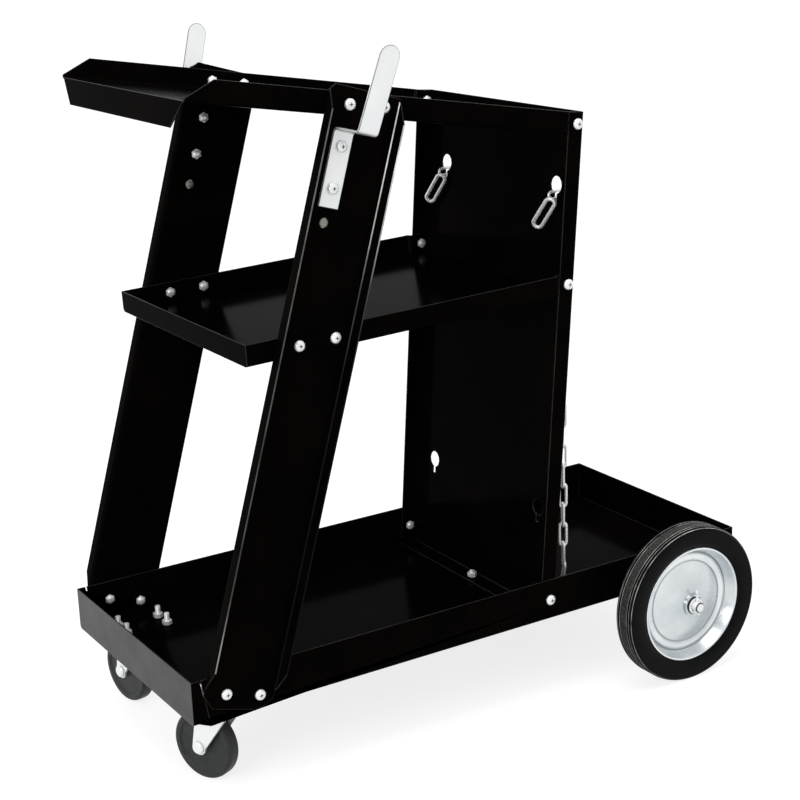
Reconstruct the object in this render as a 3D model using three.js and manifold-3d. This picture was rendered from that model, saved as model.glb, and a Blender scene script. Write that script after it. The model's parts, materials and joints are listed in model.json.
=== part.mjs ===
// Welding cart: a long base tray on two large wheels and two swivel casters, slanted
// legs that carry two shelves, and a rear panel with a cylinder bay behind it.
// Units are millimetres. X runs to the rear, Y to the right, Z up.
// The cart faces -X, so its left side is towards -Y. It stands on Z = 0.
import * as THREE from 'three';
import { mergeVertices } from 'three/addons/utils/BufferGeometryUtils.js';
import Module from 'manifold-3d';

const wasm = await Module();
wasm.setup();

const degrees = (angle) => THREE.MathUtils.degToRad(angle);

// Sheet metal and fits
const sheet = 1.5;
const bendInside = 2.5;
const bendSteps = 3;
const fitGap = 0.3;
const notchGap = 1.5;

// Base tray
const trayLength = 700;
const trayWidth = 292;
const trayLip = 47;
const cornerTab = 9;
const cornerTabFlare = 7;
const cornerNotchWidth = 1.6;
const cornerNotchFloor = 12;

// Legs: slanted channels against the tray's sides, with their flanges outwards
const legLean = degrees(16.7);
const legFootX = 1.6;
const legWidth = 82;
const legFlange = 16;
const legFlangeTaper = 24;
const legFlangeFoot = 20;
const legFlangeHead = 2;
const legEndBelowBolts = 16;
const legTopAboveBolts = 16;
const legFrontClip = 14;
const legRearClip = 2;
const legRearRound = 22;
const legBoltSpacing = 38;
const legBoltShift = 3.75;
const footBoltDrop = 2.8;

// Middle shelf
const middleFrontX = 82;
const middleFrontZ = 350;
const middleRise = degrees(1.9);
const middleLip = 22.5;

// Top shelf
const topFrontX = 36;
const topFrontZ = 603;
const topFall = degrees(9.6);
const topLip = 23;
const topLipChamfer = 30;
const topFrontFlange = 24.5;
const topFlangeTaper = 26;

// Rear panel
const panelFootX = 439.3;
const panelLean = degrees(4.64);
const panelHeight = 552;
const panelFlange = 20;
const panelBoltInset = 9;
const panelFootFlange = 20;
const keyholeInset = 41.5;
const keyholeUpper = 472;
const keyholeLower = 115;
const keyholeRadius = 9.5;
const keySlotWidth = 4.6;
const keySlotDrop = 17;

// Cable hooks
const hookWidth = 22;
const hookColumnShift = -1.1;
const hookThickness = 2.5;
const hookPlate = 76;
const hookEndMargin = 17;
const hookReach = 43;
const hookTab = 82;
const hookTabLean = degrees(7);
const hookBendInside = 3;
const hookBoltPitch = 40;
const hookHoleDrop = 40;
const spareHoleDrop = 73.5;
const spareHoleRadius = 4.8;

// Bolts
const boltRadius = 3;
const boltHeadRadius = 5.75;
const boltHeadHeight = 4;
const boltCrownRadius = 4;
const nutRadius = 5;
const nutHeight = 5;
const boltSides = 6;

// Rear wheels and axle
const axleRadius = 6;
const axleSeatGap = 0.9;
const axleRearInset = 104;
const axleSides = 12;
const axleLugThickness = 4;
const axleLugWidth = 34;
const axleLugInset = 26;
const axleCollarRadius = 9;
const axleCollarWidth = 1.7;
const axleEndPastPin = 6;
const wheelRadius = 91;
const wheelSides = 28;
const tyreWidth = 29;
const tyreHeight = 23.7;
const tyreGrooveDepth = 2;
const tyreGrooveWidth = 2.4;
const tyreGrooveOffset = 7.6;
const tyreGrooveSlope = 0.4;
const tyreShoulderWidth = 4.5;
const tyreShoulderDrop = 1.2;
const tyreEdgeWidth = 2;
const tyreEdgeDrop = 5;
const tyreBeadHeight = 5;
const tyreBeadWidth = 3;
const wheelInset = 23.3;
const hubRadius = 13;
const hubPastTyre = 0.5;
const rimWall = 3;
const rimLipInset = 3;
const rimHubFace = 10.5;
const rimValleyInset = 16;
const rimValleyFace = -0.5;
const rimRingInset = 8;
const rimRingWidth = 5;
const rimRingFace = 1.5;
const rimGutterInset = 6;
const rimGutterFace = -0.5;
const hubCollarGap = 0.6;
const washerRadius = 9.5;
const washerThickness = 2;
const pinRadius = 1.5;
const pinLength = 26;
const pinEyeRadius = 3.2;

// Casters
const casterX = 57.8;
const casterInset = 40.2;
const casterTrail = 33.8;
const casterPlateLength = 72;
const casterPlateWidth = 48;
const casterPlateThickness = 3;
const casterBoltX = 24;
const casterBoltY = 12;
const racewayRadius = 20;
const racewayHeight = 8;
const kingpinRadius = 5;
const kingpinHeadRadius = 9;
const kingpinHead = 3;
const forkThickness = 2.5;
const forkFront = 11;
const forkBack = 34;
const forkBossRadius = 9;
const casterWheelRadius = 37.5;
const casterWheelWidth = 18;
const casterSides = 20;
const casterTreadEdge = 5;
const casterTreadDrop = 3;
const casterTreadHeight = 9;
const casterFaceInset = 1;
const casterRecess = 3;
const casterRecessSlope = 2;
const casterHubWall = 2;
const casterPinRadius = 4;
const casterPinHeadRadius = 7;
const casterPinHead = 3;
const casterPinCrownRadius = 5.6;
const casterSideGap = 1.2;
const casterTurn = { left: degrees(113.7), right: degrees(100.1) };

// Cylinder chain
const chainRadius = 4.5;
const chainSides = 6;
const chainSteps = 44;
const chainBend = 26;
const chainBehindPanel = 5.2;
const linkWire = 1.75;
const linkLength = 38;
const linkWidth = 13;
const linkSlant = degrees(33);

// Worked out from the sizes above
const half = trayWidth / 2;
const axleDrop = axleRadius + axleSeatGap;
const trayClearance = axleDrop + wheelRadius;
const axleX = trayLength - axleRearInset;
const tyreSeatRadius = wheelRadius - tyreHeight;
const legBoltColumn = (legWidth - legBoltSpacing) / 2 + legBoltShift;
const legFace = half + fitGap;
const panelHalf = half - sheet - fitGap;
const shelfEndHalf = panelHalf - sheet - fitGap;
const panelFootZ = sheet + fitGap;
const sides = [
  { name: 'left', sign: -1 },
  { name: 'right', sign: 1 },
];

const coat = new THREE.MeshStandardMaterial({ color: 0x0d0b0b, roughness: 0.32, metalness: 0.1 });
const zinc = new THREE.MeshStandardMaterial({ color: 0xc9cbcc, roughness: 0.35, metalness: 0.9 });
const rubber = new THREE.MeshStandardMaterial({ color: 0x121212, roughness: 0.75, metalness: 0 });
const tread = new THREE.MeshStandardMaterial({ color: 0x2e2f31, roughness: 0.7, metalness: 0 });
const chainSteel = new THREE.MeshStandardMaterial({ color: 0xb9bbbd, roughness: 0.4, metalness: 0.9 });

// Booleans
const solidOf = (geometry) => {
  const bare = geometry.clone();
  bare.deleteAttribute('normal');
  bare.deleteAttribute('uv');
  const merged = mergeVertices(bare);
  const corners = Array.from(merged.index.array);
  const triangles = [];
  for (let i = 0; i < corners.length; i += 3) {
    const [a, b, c] = corners.slice(i, i + 3);
    if (a !== b && b !== c && c !== a) {
      triangles.push(a, b, c);
    }
  }
  return new wasm.Manifold(new wasm.Mesh({
    numProp: 3,
    vertProperties: new Float32Array(merged.attributes.position.array),
    triVerts: new Uint32Array(triangles),
  }));
};

const geometryOf = (solid) => {
  const mesh = solid.getMesh();
  const geometry = new THREE.BufferGeometry();
  geometry.setAttribute('position', new THREE.BufferAttribute(mesh.vertProperties, 3));
  geometry.setIndex(new THREE.BufferAttribute(mesh.triVerts, 1));
  geometry.computeVertexNormals();
  return geometry;
};

const join = (...pieces) => geometryOf(pieces.map(solidOf).reduce((all, piece) => all.add(piece)));
const cut = (piece, tools) => geometryOf(
  tools.map(solidOf).reduce((rest, tool) => rest.subtract(tool), solidOf(piece)),
);
const common = (one, other) => geometryOf(solidOf(one).intersect(solidOf(other)));

const flipped = (geometry) => {
  const index = geometry.index.array;
  for (let i = 0; i < index.length; i += 3) {
    [index[i], index[i + 1]] = [index[i + 1], index[i]];
  }
  geometry.computeVertexNormals();
  return geometry;
};

// The same shape on the other side of the cart
const mirrored = (geometry) => flipped(geometry.clone().scale(1, -1, 1));
const onSide = (geometry, side) => (side.sign < 0 ? geometry : mirrored(geometry));

// Shapes
const box = (x0, x1, y0, y1, z0, z1) => new THREE.BoxGeometry(x1 - x0, y1 - y0, z1 - z0)
  .translate((x0 + x1) / 2, (y0 + y1) / 2, (z0 + z1) / 2);

const outline = (pairs) => new THREE.Shape(pairs.map(([x, y]) => new THREE.Vector2(x, y)));
const extruded = (shape, depth) => new THREE.ExtrudeGeometry(shape, { depth, bevelEnabled: false });

const axisX = new THREE.Vector3(1, 0, 0);
const axisY = new THREE.Vector3(0, 1, 0);
const axisZ = new THREE.Vector3(0, 0, 1);
const alongX = new THREE.Matrix4().makeBasis(axisY, axisZ, axisX);
const alongY = new THREE.Matrix4().makeBasis(axisZ, axisX, axisY);

// A section drawn in Y and Z, run along X from the given place
const runX = (shape, from, to) => extruded(shape, to - from).applyMatrix4(alongX).translate(from, 0, 0);
// A section drawn in Z and X, run along Y from the given place
const runY = (shape, from, to) => extruded(shape, to - from).applyMatrix4(alongY).translate(0, from, 0);
// An outline given as X and Z pairs, run along Y
const plateY = (pairs, from, to) => runY(outline(pairs.map(([x, z]) => [z, x])), from, to);

const rod = (radius, length, count) => new THREE.CylinderGeometry(radius, radius, length, count);
const rodZ = (radius, length, count) => rod(radius, length, count).rotateX(Math.PI / 2);
const rodX = (radius, length, count) => rod(radius, length, count).rotateZ(Math.PI / 2);
const toCorner = (count) => 1 / Math.cos(Math.PI / count);

// A tool for a hole that clears a turned rod of this radius, however the rod is turned
const hole = (radius, length, count) => {
  const clear = radius * toCorner(count) + fitGap;
  return rod(clear * toCorner(count), length, count);
};
const holeZ = (radius, length, count) => hole(radius, length, count).rotateX(Math.PI / 2);

// A turned shape about Y. Its radii are measured to the flats, and one flat faces down.
const turned = (pairs, count) => {
  const points = pairs.map(([radius, along]) => new THREE.Vector2(radius * toCorner(count), along));
  const geometry = mergeVertices(bareLathe(points, count));
  return solidVolume(geometry) < 0 ? flipped(geometry) : geometry;
};

function bareLathe(points, count) {
  const geometry = new THREE.LatheGeometry(points, count, Math.PI / count);
  geometry.deleteAttribute('normal');
  geometry.deleteAttribute('uv');
  return geometry;
}

function solidVolume(geometry) {
  const place = geometry.attributes.position;
  const index = geometry.index.array;
  const [a, b, c] = [new THREE.Vector3(), new THREE.Vector3(), new THREE.Vector3()];
  let total = 0;
  for (let i = 0; i < index.length; i += 3) {
    a.fromBufferAttribute(place, index[i]);
    b.fromBufferAttribute(place, index[i + 1]);
    c.fromBufferAttribute(place, index[i + 2]);
    total += a.dot(b.cross(c)) / 6;
  }
  return total;
}

const turnedRing = (pairs, count) => turned([...pairs, pairs[0]], count);

// Bent sheet: a line of corners is one face, and the sheet lies on its left
const leftOf = (direction) => new THREE.Vector2(-direction.y, direction.x);
const directionAt = (line, i) => line[i + 1].clone().sub(line[i]).normalize();

const turnAt = (line, i) => {
  const before = directionAt(line, i - 1);
  const after = directionAt(line, i);
  return Math.atan2(before.cross(after), before.dot(after));
};

const roundedLine = (line, radiusFor) => {
  const points = [line[0]];
  for (let i = 1; i < line.length - 1; i += 1) {
    const before = directionAt(line, i - 1);
    const turn = turnAt(line, i);
    const radius = radiusFor(turn);
    const start = line[i].clone().addScaledVector(before, -radius * Math.tan(Math.abs(turn) / 2));
    const centre = start.clone().addScaledVector(leftOf(before), Math.sign(turn) * radius);
    for (let step = 0; step <= bendSteps; step += 1) {
      points.push(start.clone().rotateAround(centre, (turn * step) / bendSteps));
    }
  }
  points.push(line[line.length - 1]);
  return points;
};

const movedLeft = (line, distance) => line.map((corner, i) => {
  const first = leftOf(directionAt(line, Math.max(i - 1, 0)));
  const second = leftOf(directionAt(line, Math.min(i, line.length - 2)));
  const reach = distance / (1 + first.dot(second));
  return corner.clone().addScaledVector(first, reach).addScaledVector(second, reach);
});

const bentSheet = (pairs, thickness, inside) => {
  const line = pairs.map(([x, y]) => new THREE.Vector2(x, y));
  const right = roundedLine(line, (turn) => (turn > 0 ? inside + thickness : inside));
  const moved = movedLeft(line, thickness);
  const left = roundedLine(moved, (turn) => (turn > 0 ? inside : inside + thickness));
  return new THREE.Shape([...right, ...left.reverse()]);
};

// The outside of a tray as a filled section, and its hollow, which runs out of the top
const trough = (halfWidth, floor, top, radius) => {
  const corners = [[-halfWidth, top], [-halfWidth, floor], [halfWidth, floor], [halfWidth, top]];
  const line = corners.map(([x, y]) => new THREE.Vector2(x, y));
  return new THREE.Shape(roundedLine(line, () => radius));
};
const trayOutside = (halfWidth, lip) => trough(halfWidth, 0, lip, bendInside + sheet);
const trayHollow = (halfWidth, lip) => trough(halfWidth - sheet, sheet, lip + sheet, bendInside);

// Frames: a place in the side view and a turn about Y
const trayFrame = { x: 0, z: 0, turn: 0 };
const legFrame = { x: legFootX, z: 0, turn: legLean };
const middleFrame = { x: middleFrontX, z: middleFrontZ, turn: -middleRise };
const topFrame = { x: topFrontX, z: topFrontZ, turn: topFall };
const panelFrame = { x: panelFootX, z: panelFootZ, turn: panelLean };

const fromFrame = (frame, along, up) => [
  frame.x + along * Math.cos(frame.turn) + up * Math.sin(frame.turn),
  frame.z - along * Math.sin(frame.turn) + up * Math.cos(frame.turn),
];
const toFrame = (frame, [x, z]) => [
  (x - frame.x) * Math.cos(frame.turn) - (z - frame.z) * Math.sin(frame.turn),
  (x - frame.x) * Math.sin(frame.turn) + (z - frame.z) * Math.cos(frame.turn),
];
// How far up one frame's column it reaches a height of the other frame
const columnMeets = (frame, along, other, height) => {
  const start = toFrame(other, fromFrame(frame, along, 0))[1];
  return (height - start) / Math.cos(frame.turn - other.turn);
};
// How far along one frame's level it reaches a column of the other frame
const levelMeets = (frame, up, other, column) => {
  const start = toFrame(other, fromFrame(frame, 0, up))[0];
  return (column - start) / Math.cos(frame.turn - other.turn);
};

const placed = (name, geometry, material, frame = trayFrame, y = 0) => {
  const mesh = new THREE.Mesh(geometry, material);
  mesh.name = name;
  mesh.position.set(frame.x, y, frame.z);
  mesh.rotation.y = frame.turn;
  return mesh;
};

// Holes right across the cart at places of the side view
const crossHoles = (frame, places) => places.map((place) => {
  const [x, z] = toFrame(frame, place);
  return hole(boltRadius, trayWidth * 2, boltSides).translate(x, 0, z);
});

// Bolt places in the side view
const columns = [legBoltColumn, legBoltColumn + legBoltSpacing];
const footColumn = legBoltColumn + legBoltSpacing / 2;
const footMiddle = columnMeets(legFrame, footColumn, trayFrame, trayLip / 2 - footBoltDrop);
const footBolts = columns.map((column) => fromFrame(legFrame, column, footMiddle));
const legBoltsOn = (frame, lip) => columns.map(
  (column) => fromFrame(legFrame, column, columnMeets(legFrame, column, frame, lip / 2)),
);
const middleLegBolts = legBoltsOn(middleFrame, middleLip);
const topLegBolts = legBoltsOn(topFrame, topLip);
const panelBoltOn = (frame, lip) => fromFrame(
  panelFrame,
  sheet - panelBoltInset,
  columnMeets(panelFrame, sheet - panelBoltInset, frame, lip / 2),
);
const panelTopBolt = panelBoltOn(topFrame, topLip);
const panelMiddleBolt = panelBoltOn(middleFrame, middleLip);
const panelTrayBolt = panelBoltOn(trayFrame, trayLip);
const topBoltHeight = toFrame(legFrame, topLegBolts[0])[1];
const hookTopHole = topBoltHeight - hookHoleDrop;
const hookHoles = [hookTopHole, hookTopHole - hookBoltPitch];
const hookColumn = legBoltColumn + hookColumnShift;
const hookBolts = hookHoles.map((height) => fromFrame(legFrame, hookColumn, height));
const legEnd = footMiddle - legEndBelowBolts;
const legTop = topBoltHeight + legTopAboveBolts;

const floorHole = (x, y) => holeZ(boltRadius, trayLip, boltSides).translate(x, y, 0);
const casterY = half - casterInset;
const casterBoltPlaces = [-1, 1].flatMap(
  (end) => [-1, 1].map((way) => [end * casterBoltX, way * casterBoltY]),
);
const footBoltX = panelFootX - panelFootFlange / 2;

// Base tray, with the axle lugs welded under its floor
function makeTray() {
  const lugDrop = axleDrop + axleRadius + axleLugThickness;
  const lugs = sides.map((side) => {
    const middle = side.sign * (half - axleLugInset);
    return box(
      axleX - axleLugWidth / 2,
      axleX + axleLugWidth / 2,
      middle - axleLugThickness / 2,
      middle + axleLugThickness / 2,
      -lugDrop,
      sheet / 2,
    );
  });
  const body = join(runX(trayOutside(half, trayLip), 0, trayLength), ...lugs);
  const cornerNotch = plateY([
    [cornerTab, trayLip + sheet],
    [cornerTab + cornerTabFlare, cornerNotchFloor],
    [cornerTab + cornerNotchWidth, trayLip + sheet],
  ], -trayWidth, trayWidth);
  const floorHoles = sides.flatMap((side) => casterBoltPlaces.map(
    ([x, y]) => floorHole(casterX + x, side.sign * casterY + y),
  ));
  return cut(body, [
    runX(trayHollow(half, trayLip), sheet, trayLength - sheet),
    cornerNotch,
    ...crossHoles(trayFrame, [...footBolts, panelTrayBolt]),
    ...floorHoles,
    floorHole(footBoltX, 0),
    hole(axleRadius, trayWidth * 2, axleSides).translate(axleX, 0, -axleDrop),
  ]);
}

// A shelf runs to the panel's flanges, and its end steps in between them
function makeShelf(frame, lip, frontWall) {
  const reach = (column) => Math.min(
    levelMeets(frame, 0, panelFrame, column),
    levelMeets(frame, lip, panelFrame, column),
  );
  const trunkEnd = reach(sheet - panelFlange) - notchGap;
  const end = reach(0) - bendInside;
  const outside = join(
    runX(trayOutside(half, lip), 0, trunkEnd),
    runX(trayOutside(shelfEndHalf, lip), trunkEnd - sheet, end),
  );
  return cut(outside, [
    runX(trayHollow(half, lip), frontWall, trunkEnd - sheet),
    runX(trayHollow(shelfEndHalf, lip), trunkEnd - sheet * 2, end + sheet),
  ]);
}

function makeMiddleShelf() {
  const holes = crossHoles(middleFrame, [...middleLegBolts, panelMiddleBolt]);
  return cut(makeShelf(middleFrame, middleLip, sheet), holes);
}

function makeTopShelf() {
  const widest = half - bendInside - sheet;
  const flange = outline([
    [-widest, sheet / 2],
    [-half + topFlangeTaper, -topFrontFlange],
    [half - topFlangeTaper, -topFrontFlange],
    [widest, sheet / 2],
  ]);
  const chamfer = plateY([
    [-sheet, bendInside + sheet],
    [0, bendInside + sheet],
    [topLipChamfer, topLip + sheet],
    [-sheet, topLip + sheet],
  ], -trayWidth, trayWidth);
  return cut(join(makeShelf(topFrame, topLip, -sheet), runX(flange, 0, sheet)), [
    chamfer,
    ...crossHoles(topFrame, [...topLegBolts, panelTopBolt]),
  ]);
}

// Rear panel: a wide channel with flanges to the front, four keyholes and a foot flange
function makePanel() {
  const section = bentSheet([
    [sheet - panelFlange, -panelHalf],
    [sheet, -panelHalf],
    [sheet, panelHalf],
    [sheet - panelFlange, panelHalf],
  ], sheet, bendInside);
  const channel = extruded(section, panelHeight);
  const footHalf = panelHalf - sheet - bendInside;
  const foot = box(-panelFootFlange, sheet / 2, -footHalf, footHalf, 0, sheet).rotateY(-panelLean);
  const relief = sides.map((side) => box(
    -panelFlange,
    sheet + fitGap,
    Math.min(side.sign * footHalf, side.sign * half),
    Math.max(side.sign * footHalf, side.sign * half),
    -sheet,
    bendInside + sheet,
  ));
  const keyholes = [keyholeLower, keyholeUpper].flatMap((height) => sides.flatMap((side) => {
    const y = side.sign * (half - keyholeInset);
    return [
      rodX(keyholeRadius, panelFlange, axleSides).translate(0, y, height),
      box(
        -panelFlange / 2,
        panelFlange / 2,
        y - keySlotWidth / 2,
        y + keySlotWidth / 2,
        height - keySlotDrop,
        height,
      ),
    ];
  }));
  const [footX, footZ] = toFrame(panelFrame, [footBoltX, panelFootZ]);
  const footHole = holeZ(boltRadius, panelFlange, boltSides).rotateY(-panelLean).translate(footX, 0, footZ);
  const holes = crossHoles(panelFrame, [panelTopBolt, panelMiddleBolt, panelTrayBolt]);
  return cut(join(channel, foot), [...relief, ...keyholes, footHole, ...holes]);
}

// Left leg: its web's inner face is at Y = 0, and its flanges end in a slant
function makeLeg() {
  const section = bentSheet([
    [legWidth, -legFlange],
    [legWidth, 0],
    [0, 0],
    [0, -legFlange],
  ], sheet, bendInside);
  const channel = extruded(section, legTop - legEnd).translate(0, 0, legEnd);
  const rearRound = [];
  for (let step = 0; step <= bendSteps; step += 1) {
    const angle = (Math.PI / 2) * (step / bendSteps);
    rearRound.push([
      legWidth - legRearRound + legRearRound * Math.sin(angle),
      legEnd + legRearRound - legRearRound * Math.cos(angle),
    ]);
  }
  const face = plateY([
    [0, legEnd + legFrontClip],
    [legFrontClip, legEnd],
    ...rearRound,
    [legWidth, legTop - legRearClip],
    [legWidth - legRearClip, legTop],
    [legFrontClip / 2, legTop],
    [0, legTop - legFrontClip / 2],
  ], -legFlange * 2, legFlange);
  const slant = (end, start, rise) => runX(outline([
    [-sheet, end],
    [-sheet, start],
    [-legFlange - sheet, start + rise],
    [-legFlange - sheet, end],
  ]), -sheet, legWidth + sheet);
  const footSlant = slant(legEnd - sheet, legEnd + legFlangeFoot, legFlangeTaper);
  const headSlant = slant(legTop + sheet, legTop - legFlangeHead, -legFlangeTaper);
  const spareHole = rod(spareHoleRadius, trayWidth, axleSides);
  spareHole.translate(hookColumn, 0, hookTopHole - spareHoleDrop);
  const places = [...footBolts, ...middleLegBolts, ...topLegBolts, ...hookBolts];
  const tools = [footSlant, headSlant, spareHole, ...crossHoles(legFrame, places)];
  return cut(common(channel, face), tools);
}

// Left cable hook: a flat bar bolted to the leg, out, and up to a round end
function makeHook() {
  const plateTop = hookTopHole + hookEndMargin;
  const plateFoot = plateTop - hookPlate;
  const tabTop = plateTop + hookTab;
  const near = -sheet - fitGap;
  const far = near - hookReach;
  const tabReach = (hookTab + hookThickness) * Math.tan(hookTabLean);
  const bar = bentSheet([
    [plateFoot, near - hookThickness],
    [plateTop - hookThickness, near - hookThickness],
    [plateTop - hookThickness, far - hookThickness],
    [tabTop, far - hookThickness - tabReach],
  ], hookThickness, hookBendInside);
  const front = hookColumn - hookWidth / 2;
  const strip = extruded(bar, hookWidth).applyMatrix4(
    new THREE.Matrix4().makeBasis(axisZ, axisY, axisX.clone().negate()),
  ).translate(front + hookWidth, 0, 0);
  const roundEnd = [];
  for (let step = 0; step <= axleSides; step += 1) {
    const angle = Math.PI * (step / axleSides);
    roundEnd.push([
      hookColumn + (hookWidth / 2) * Math.cos(angle),
      tabTop - hookWidth / 2 + (hookWidth / 2) * Math.sin(angle),
    ]);
  }
  const face = plateY([
    [front, plateFoot],
    [front + hookWidth, plateFoot],
    ...roundEnd,
  ], far - tabReach - hookWidth, near + hookWidth);
  return cut(common(strip, face), crossHoles(legFrame, hookBolts));
}

// A bolt with its nut, turned about Y: the head's seat is at 0 and the head is on +Y
function makeBolt(grip) {
  return turned([
    [0, -grip - nutHeight],
    [nutRadius, -grip - nutHeight],
    [nutRadius, -grip],
    [boltRadius, -grip],
    [boltRadius, 0],
    [boltHeadRadius, 0],
    [boltHeadRadius, boltHeadHeight / 2],
    [boltCrownRadius, boltHeadHeight],
    [0, boltHeadHeight],
  ], boltSides);
}

function sideBolt(name, side, [x, z], outer, inner) {
  const seat = outer + fitGap;
  const bolt = new THREE.Mesh(makeBolt(seat - inner + fitGap), zinc);
  bolt.name = name;
  bolt.position.set(x, side.sign * seat, z);
  bolt.rotation.x = side.sign > 0 ? 0 : Math.PI;
  return bolt;
}

// A bolt up through the floor: its head is below
function floorBolt(name, x, y, lower, upper) {
  const seat = lower - fitGap;
  const bolt = new THREE.Mesh(makeBolt(upper + fitGap - seat), zinc);
  bolt.name = name;
  bolt.position.set(x, y, seat);
  bolt.rotation.x = -Math.PI / 2;
  return bolt;
}

function makeBolts() {
  const legOuter = legFace + sheet;
  const lipInner = half - sheet;
  const group = new THREE.Group();
  for (const side of sides) {
    const stacks = [
      ['leg_foot_front_bolt', footBolts[0], legOuter, lipInner],
      ['leg_foot_rear_bolt', footBolts[1], legOuter, lipInner],
      ['middle_shelf_front_bolt', middleLegBolts[0], legOuter, lipInner],
      ['middle_shelf_rear_bolt', middleLegBolts[1], legOuter, lipInner],
      ['top_shelf_front_bolt', topLegBolts[0], legOuter, lipInner],
      ['top_shelf_rear_bolt', topLegBolts[1], legOuter, lipInner],
      ['panel_top_bolt', panelTopBolt, panelHalf, shelfEndHalf - sheet],
      ['panel_middle_bolt', panelMiddleBolt, panelHalf, shelfEndHalf - sheet],
      ['panel_tray_bolt', panelTrayBolt, half, panelHalf - sheet],
      ['hook_upper_bolt', hookBolts[0], legOuter + fitGap + hookThickness, legFace],
      ['hook_lower_bolt', hookBolts[1], legOuter + fitGap + hookThickness, legFace],
    ];
    for (const [name, place, outer, inner] of stacks) {
      group.add(sideBolt(`${side.name}_${name}`, side, place, outer, inner));
    }
    casterBoltPlaces.forEach(([x, y], i) => {
      const lower = -fitGap - casterPlateThickness;
      const name = `${side.name}_caster_bolt_${i + 1}`;
      group.add(floorBolt(name, casterX + x, side.sign * casterY + y, lower, sheet));
    });
  }
  group.add(floorBolt('panel_foot_bolt', footBoltX, 0, 0, panelFootZ + sheet + fitGap));
  return group;
}

// Rear wheels, along Y from the axle's middle plane of the wheel, outside on +Y
const wheelY = half + wheelInset + tyreWidth / 2;
const hubOuter = tyreWidth / 2 + hubPastTyre;
const collarInner = half + axleSeatGap;
const hubInner = collarInner + axleCollarWidth + hubCollarGap - wheelY;
const washerY = wheelY + hubOuter + fitGap;
const pinY = washerY + washerThickness + pinRadius + fitGap;

function makeTyre() {
  const side = tyreWidth / 2;
  const bore = tyreSeatRadius + fitGap;
  const floor = wheelRadius - tyreGrooveDepth;
  const inner = tyreGrooveOffset - tyreGrooveWidth / 2;
  const outer = tyreGrooveOffset + tyreGrooveWidth / 2;
  const upper = [
    [wheelRadius, inner],
    [floor, inner + tyreGrooveSlope],
    [floor, outer - tyreGrooveSlope],
    [wheelRadius, outer],
    [wheelRadius, side - tyreShoulderWidth],
    [wheelRadius - tyreShoulderDrop, side - tyreEdgeWidth],
    [wheelRadius - tyreEdgeDrop, side],
    [bore + tyreBeadHeight, side],
    [bore, side - tyreBeadWidth],
  ];
  const lower = upper.map(([radius, along]) => [radius, -along]).reverse();
  return turnedRing([...lower, ...upper], wheelSides);
}

// Rim: a barrel under the tyre, a pressed disc with a raised ring, and the hub
function makeRim() {
  const barrel = tyreSeatRadius - fitGap;
  const inside = barrel - rimWall;
  const lip = tyreWidth / 2 - rimLipInset;
  const bore = axleRadius + fitGap;
  const front = [
    [hubRadius, rimHubFace],
    [inside - rimValleyInset, rimValleyFace],
    [inside - rimRingInset - rimRingWidth, rimRingFace],
    [inside - rimRingInset, rimRingFace],
    [inside - rimGutterInset, rimGutterFace],
  ];
  const back = front.map(([radius, along]) => [radius, along - rimWall]).reverse();
  const backEdge = rimGutterFace - rimWall;
  return turnedRing([
    [bore, hubInner],
    [bore, hubOuter],
    [hubRadius, hubOuter],
    ...front,
    [inside, lip],
    [barrel, lip],
    [barrel, -lip],
    [inside, -lip],
    [inside, backEdge],
    ...back,
    [hubRadius, hubInner],
  ], wheelSides);
}

function makeAxle() {
  const end = pinY + axleEndPastPin;
  const collarOuter = collarInner + axleCollarWidth;
  const right = [
    [axleRadius, collarInner],
    [axleCollarRadius, collarInner],
    [axleCollarRadius, collarOuter],
    [axleRadius, collarOuter],
    [axleRadius, end],
    [0, end],
  ];
  const left = right.map(([radius, along]) => [radius, -along]).reverse();
  const holes = sides.map((side) => holeZ(pinRadius, pinLength, boltSides).translate(0, side.sign * pinY, 0));
  return cut(turned([...left, ...right], axleSides), holes);
}

function makeWasher() {
  return turnedRing([
    [axleRadius + fitGap, 0],
    [axleRadius + fitGap, washerThickness],
    [washerRadius, washerThickness],
    [washerRadius, 0],
  ], axleSides);
}

// Cotter pin: a round shank with an eye on top
function makePin() {
  const eye = new THREE.TorusGeometry(pinEyeRadius, pinRadius, boltSides, boltSides * 2);
  eye.rotateX(Math.PI / 2).translate(0, 0, pinLength / 2 + pinEyeRadius);
  return join(rodZ(pinRadius, pinLength, boltSides), eye);
}

function makeWheels() {
  const group = new THREE.Group();
  group.position.set(axleX, 0, -axleDrop);
  const axle = new THREE.Mesh(makeAxle(), zinc);
  axle.name = 'rear_axle';
  group.add(axle);
  for (const side of sides) {
    const facing = side.sign > 0 ? 0 : Math.PI;
    const pieces = [
      ['rear_tyre', makeTyre(), rubber, wheelY],
      ['rear_rim', makeRim(), zinc, wheelY],
      ['axle_washer', makeWasher(), zinc, washerY],
    ];
    for (const [name, geometry, material, y] of pieces) {
      const mesh = new THREE.Mesh(geometry, material);
      mesh.name = `${side.name}_${name}`;
      mesh.position.y = side.sign * y;
      mesh.rotation.x = facing;
      group.add(mesh);
    }
    const pin = new THREE.Mesh(makePin(), zinc);
    pin.name = `${side.name}_cotter_pin`;
    pin.position.y = side.sign * pinY;
    group.add(pin);
  }
  return group;
}

// Casters, drawn about the swivel axis below the tray floor, trailing towards +X
const racewayTop = -fitGap - casterPlateThickness;
const racewayFoot = racewayTop - racewayHeight;
const forkTop = racewayFoot - fitGap;
const forkFoot = forkTop - forkThickness;
const casterAxle = casterWheelRadius - trayClearance;
const forkInner = casterWheelWidth / 2 + casterSideGap;
const forkOuter = forkInner + forkThickness;

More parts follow.
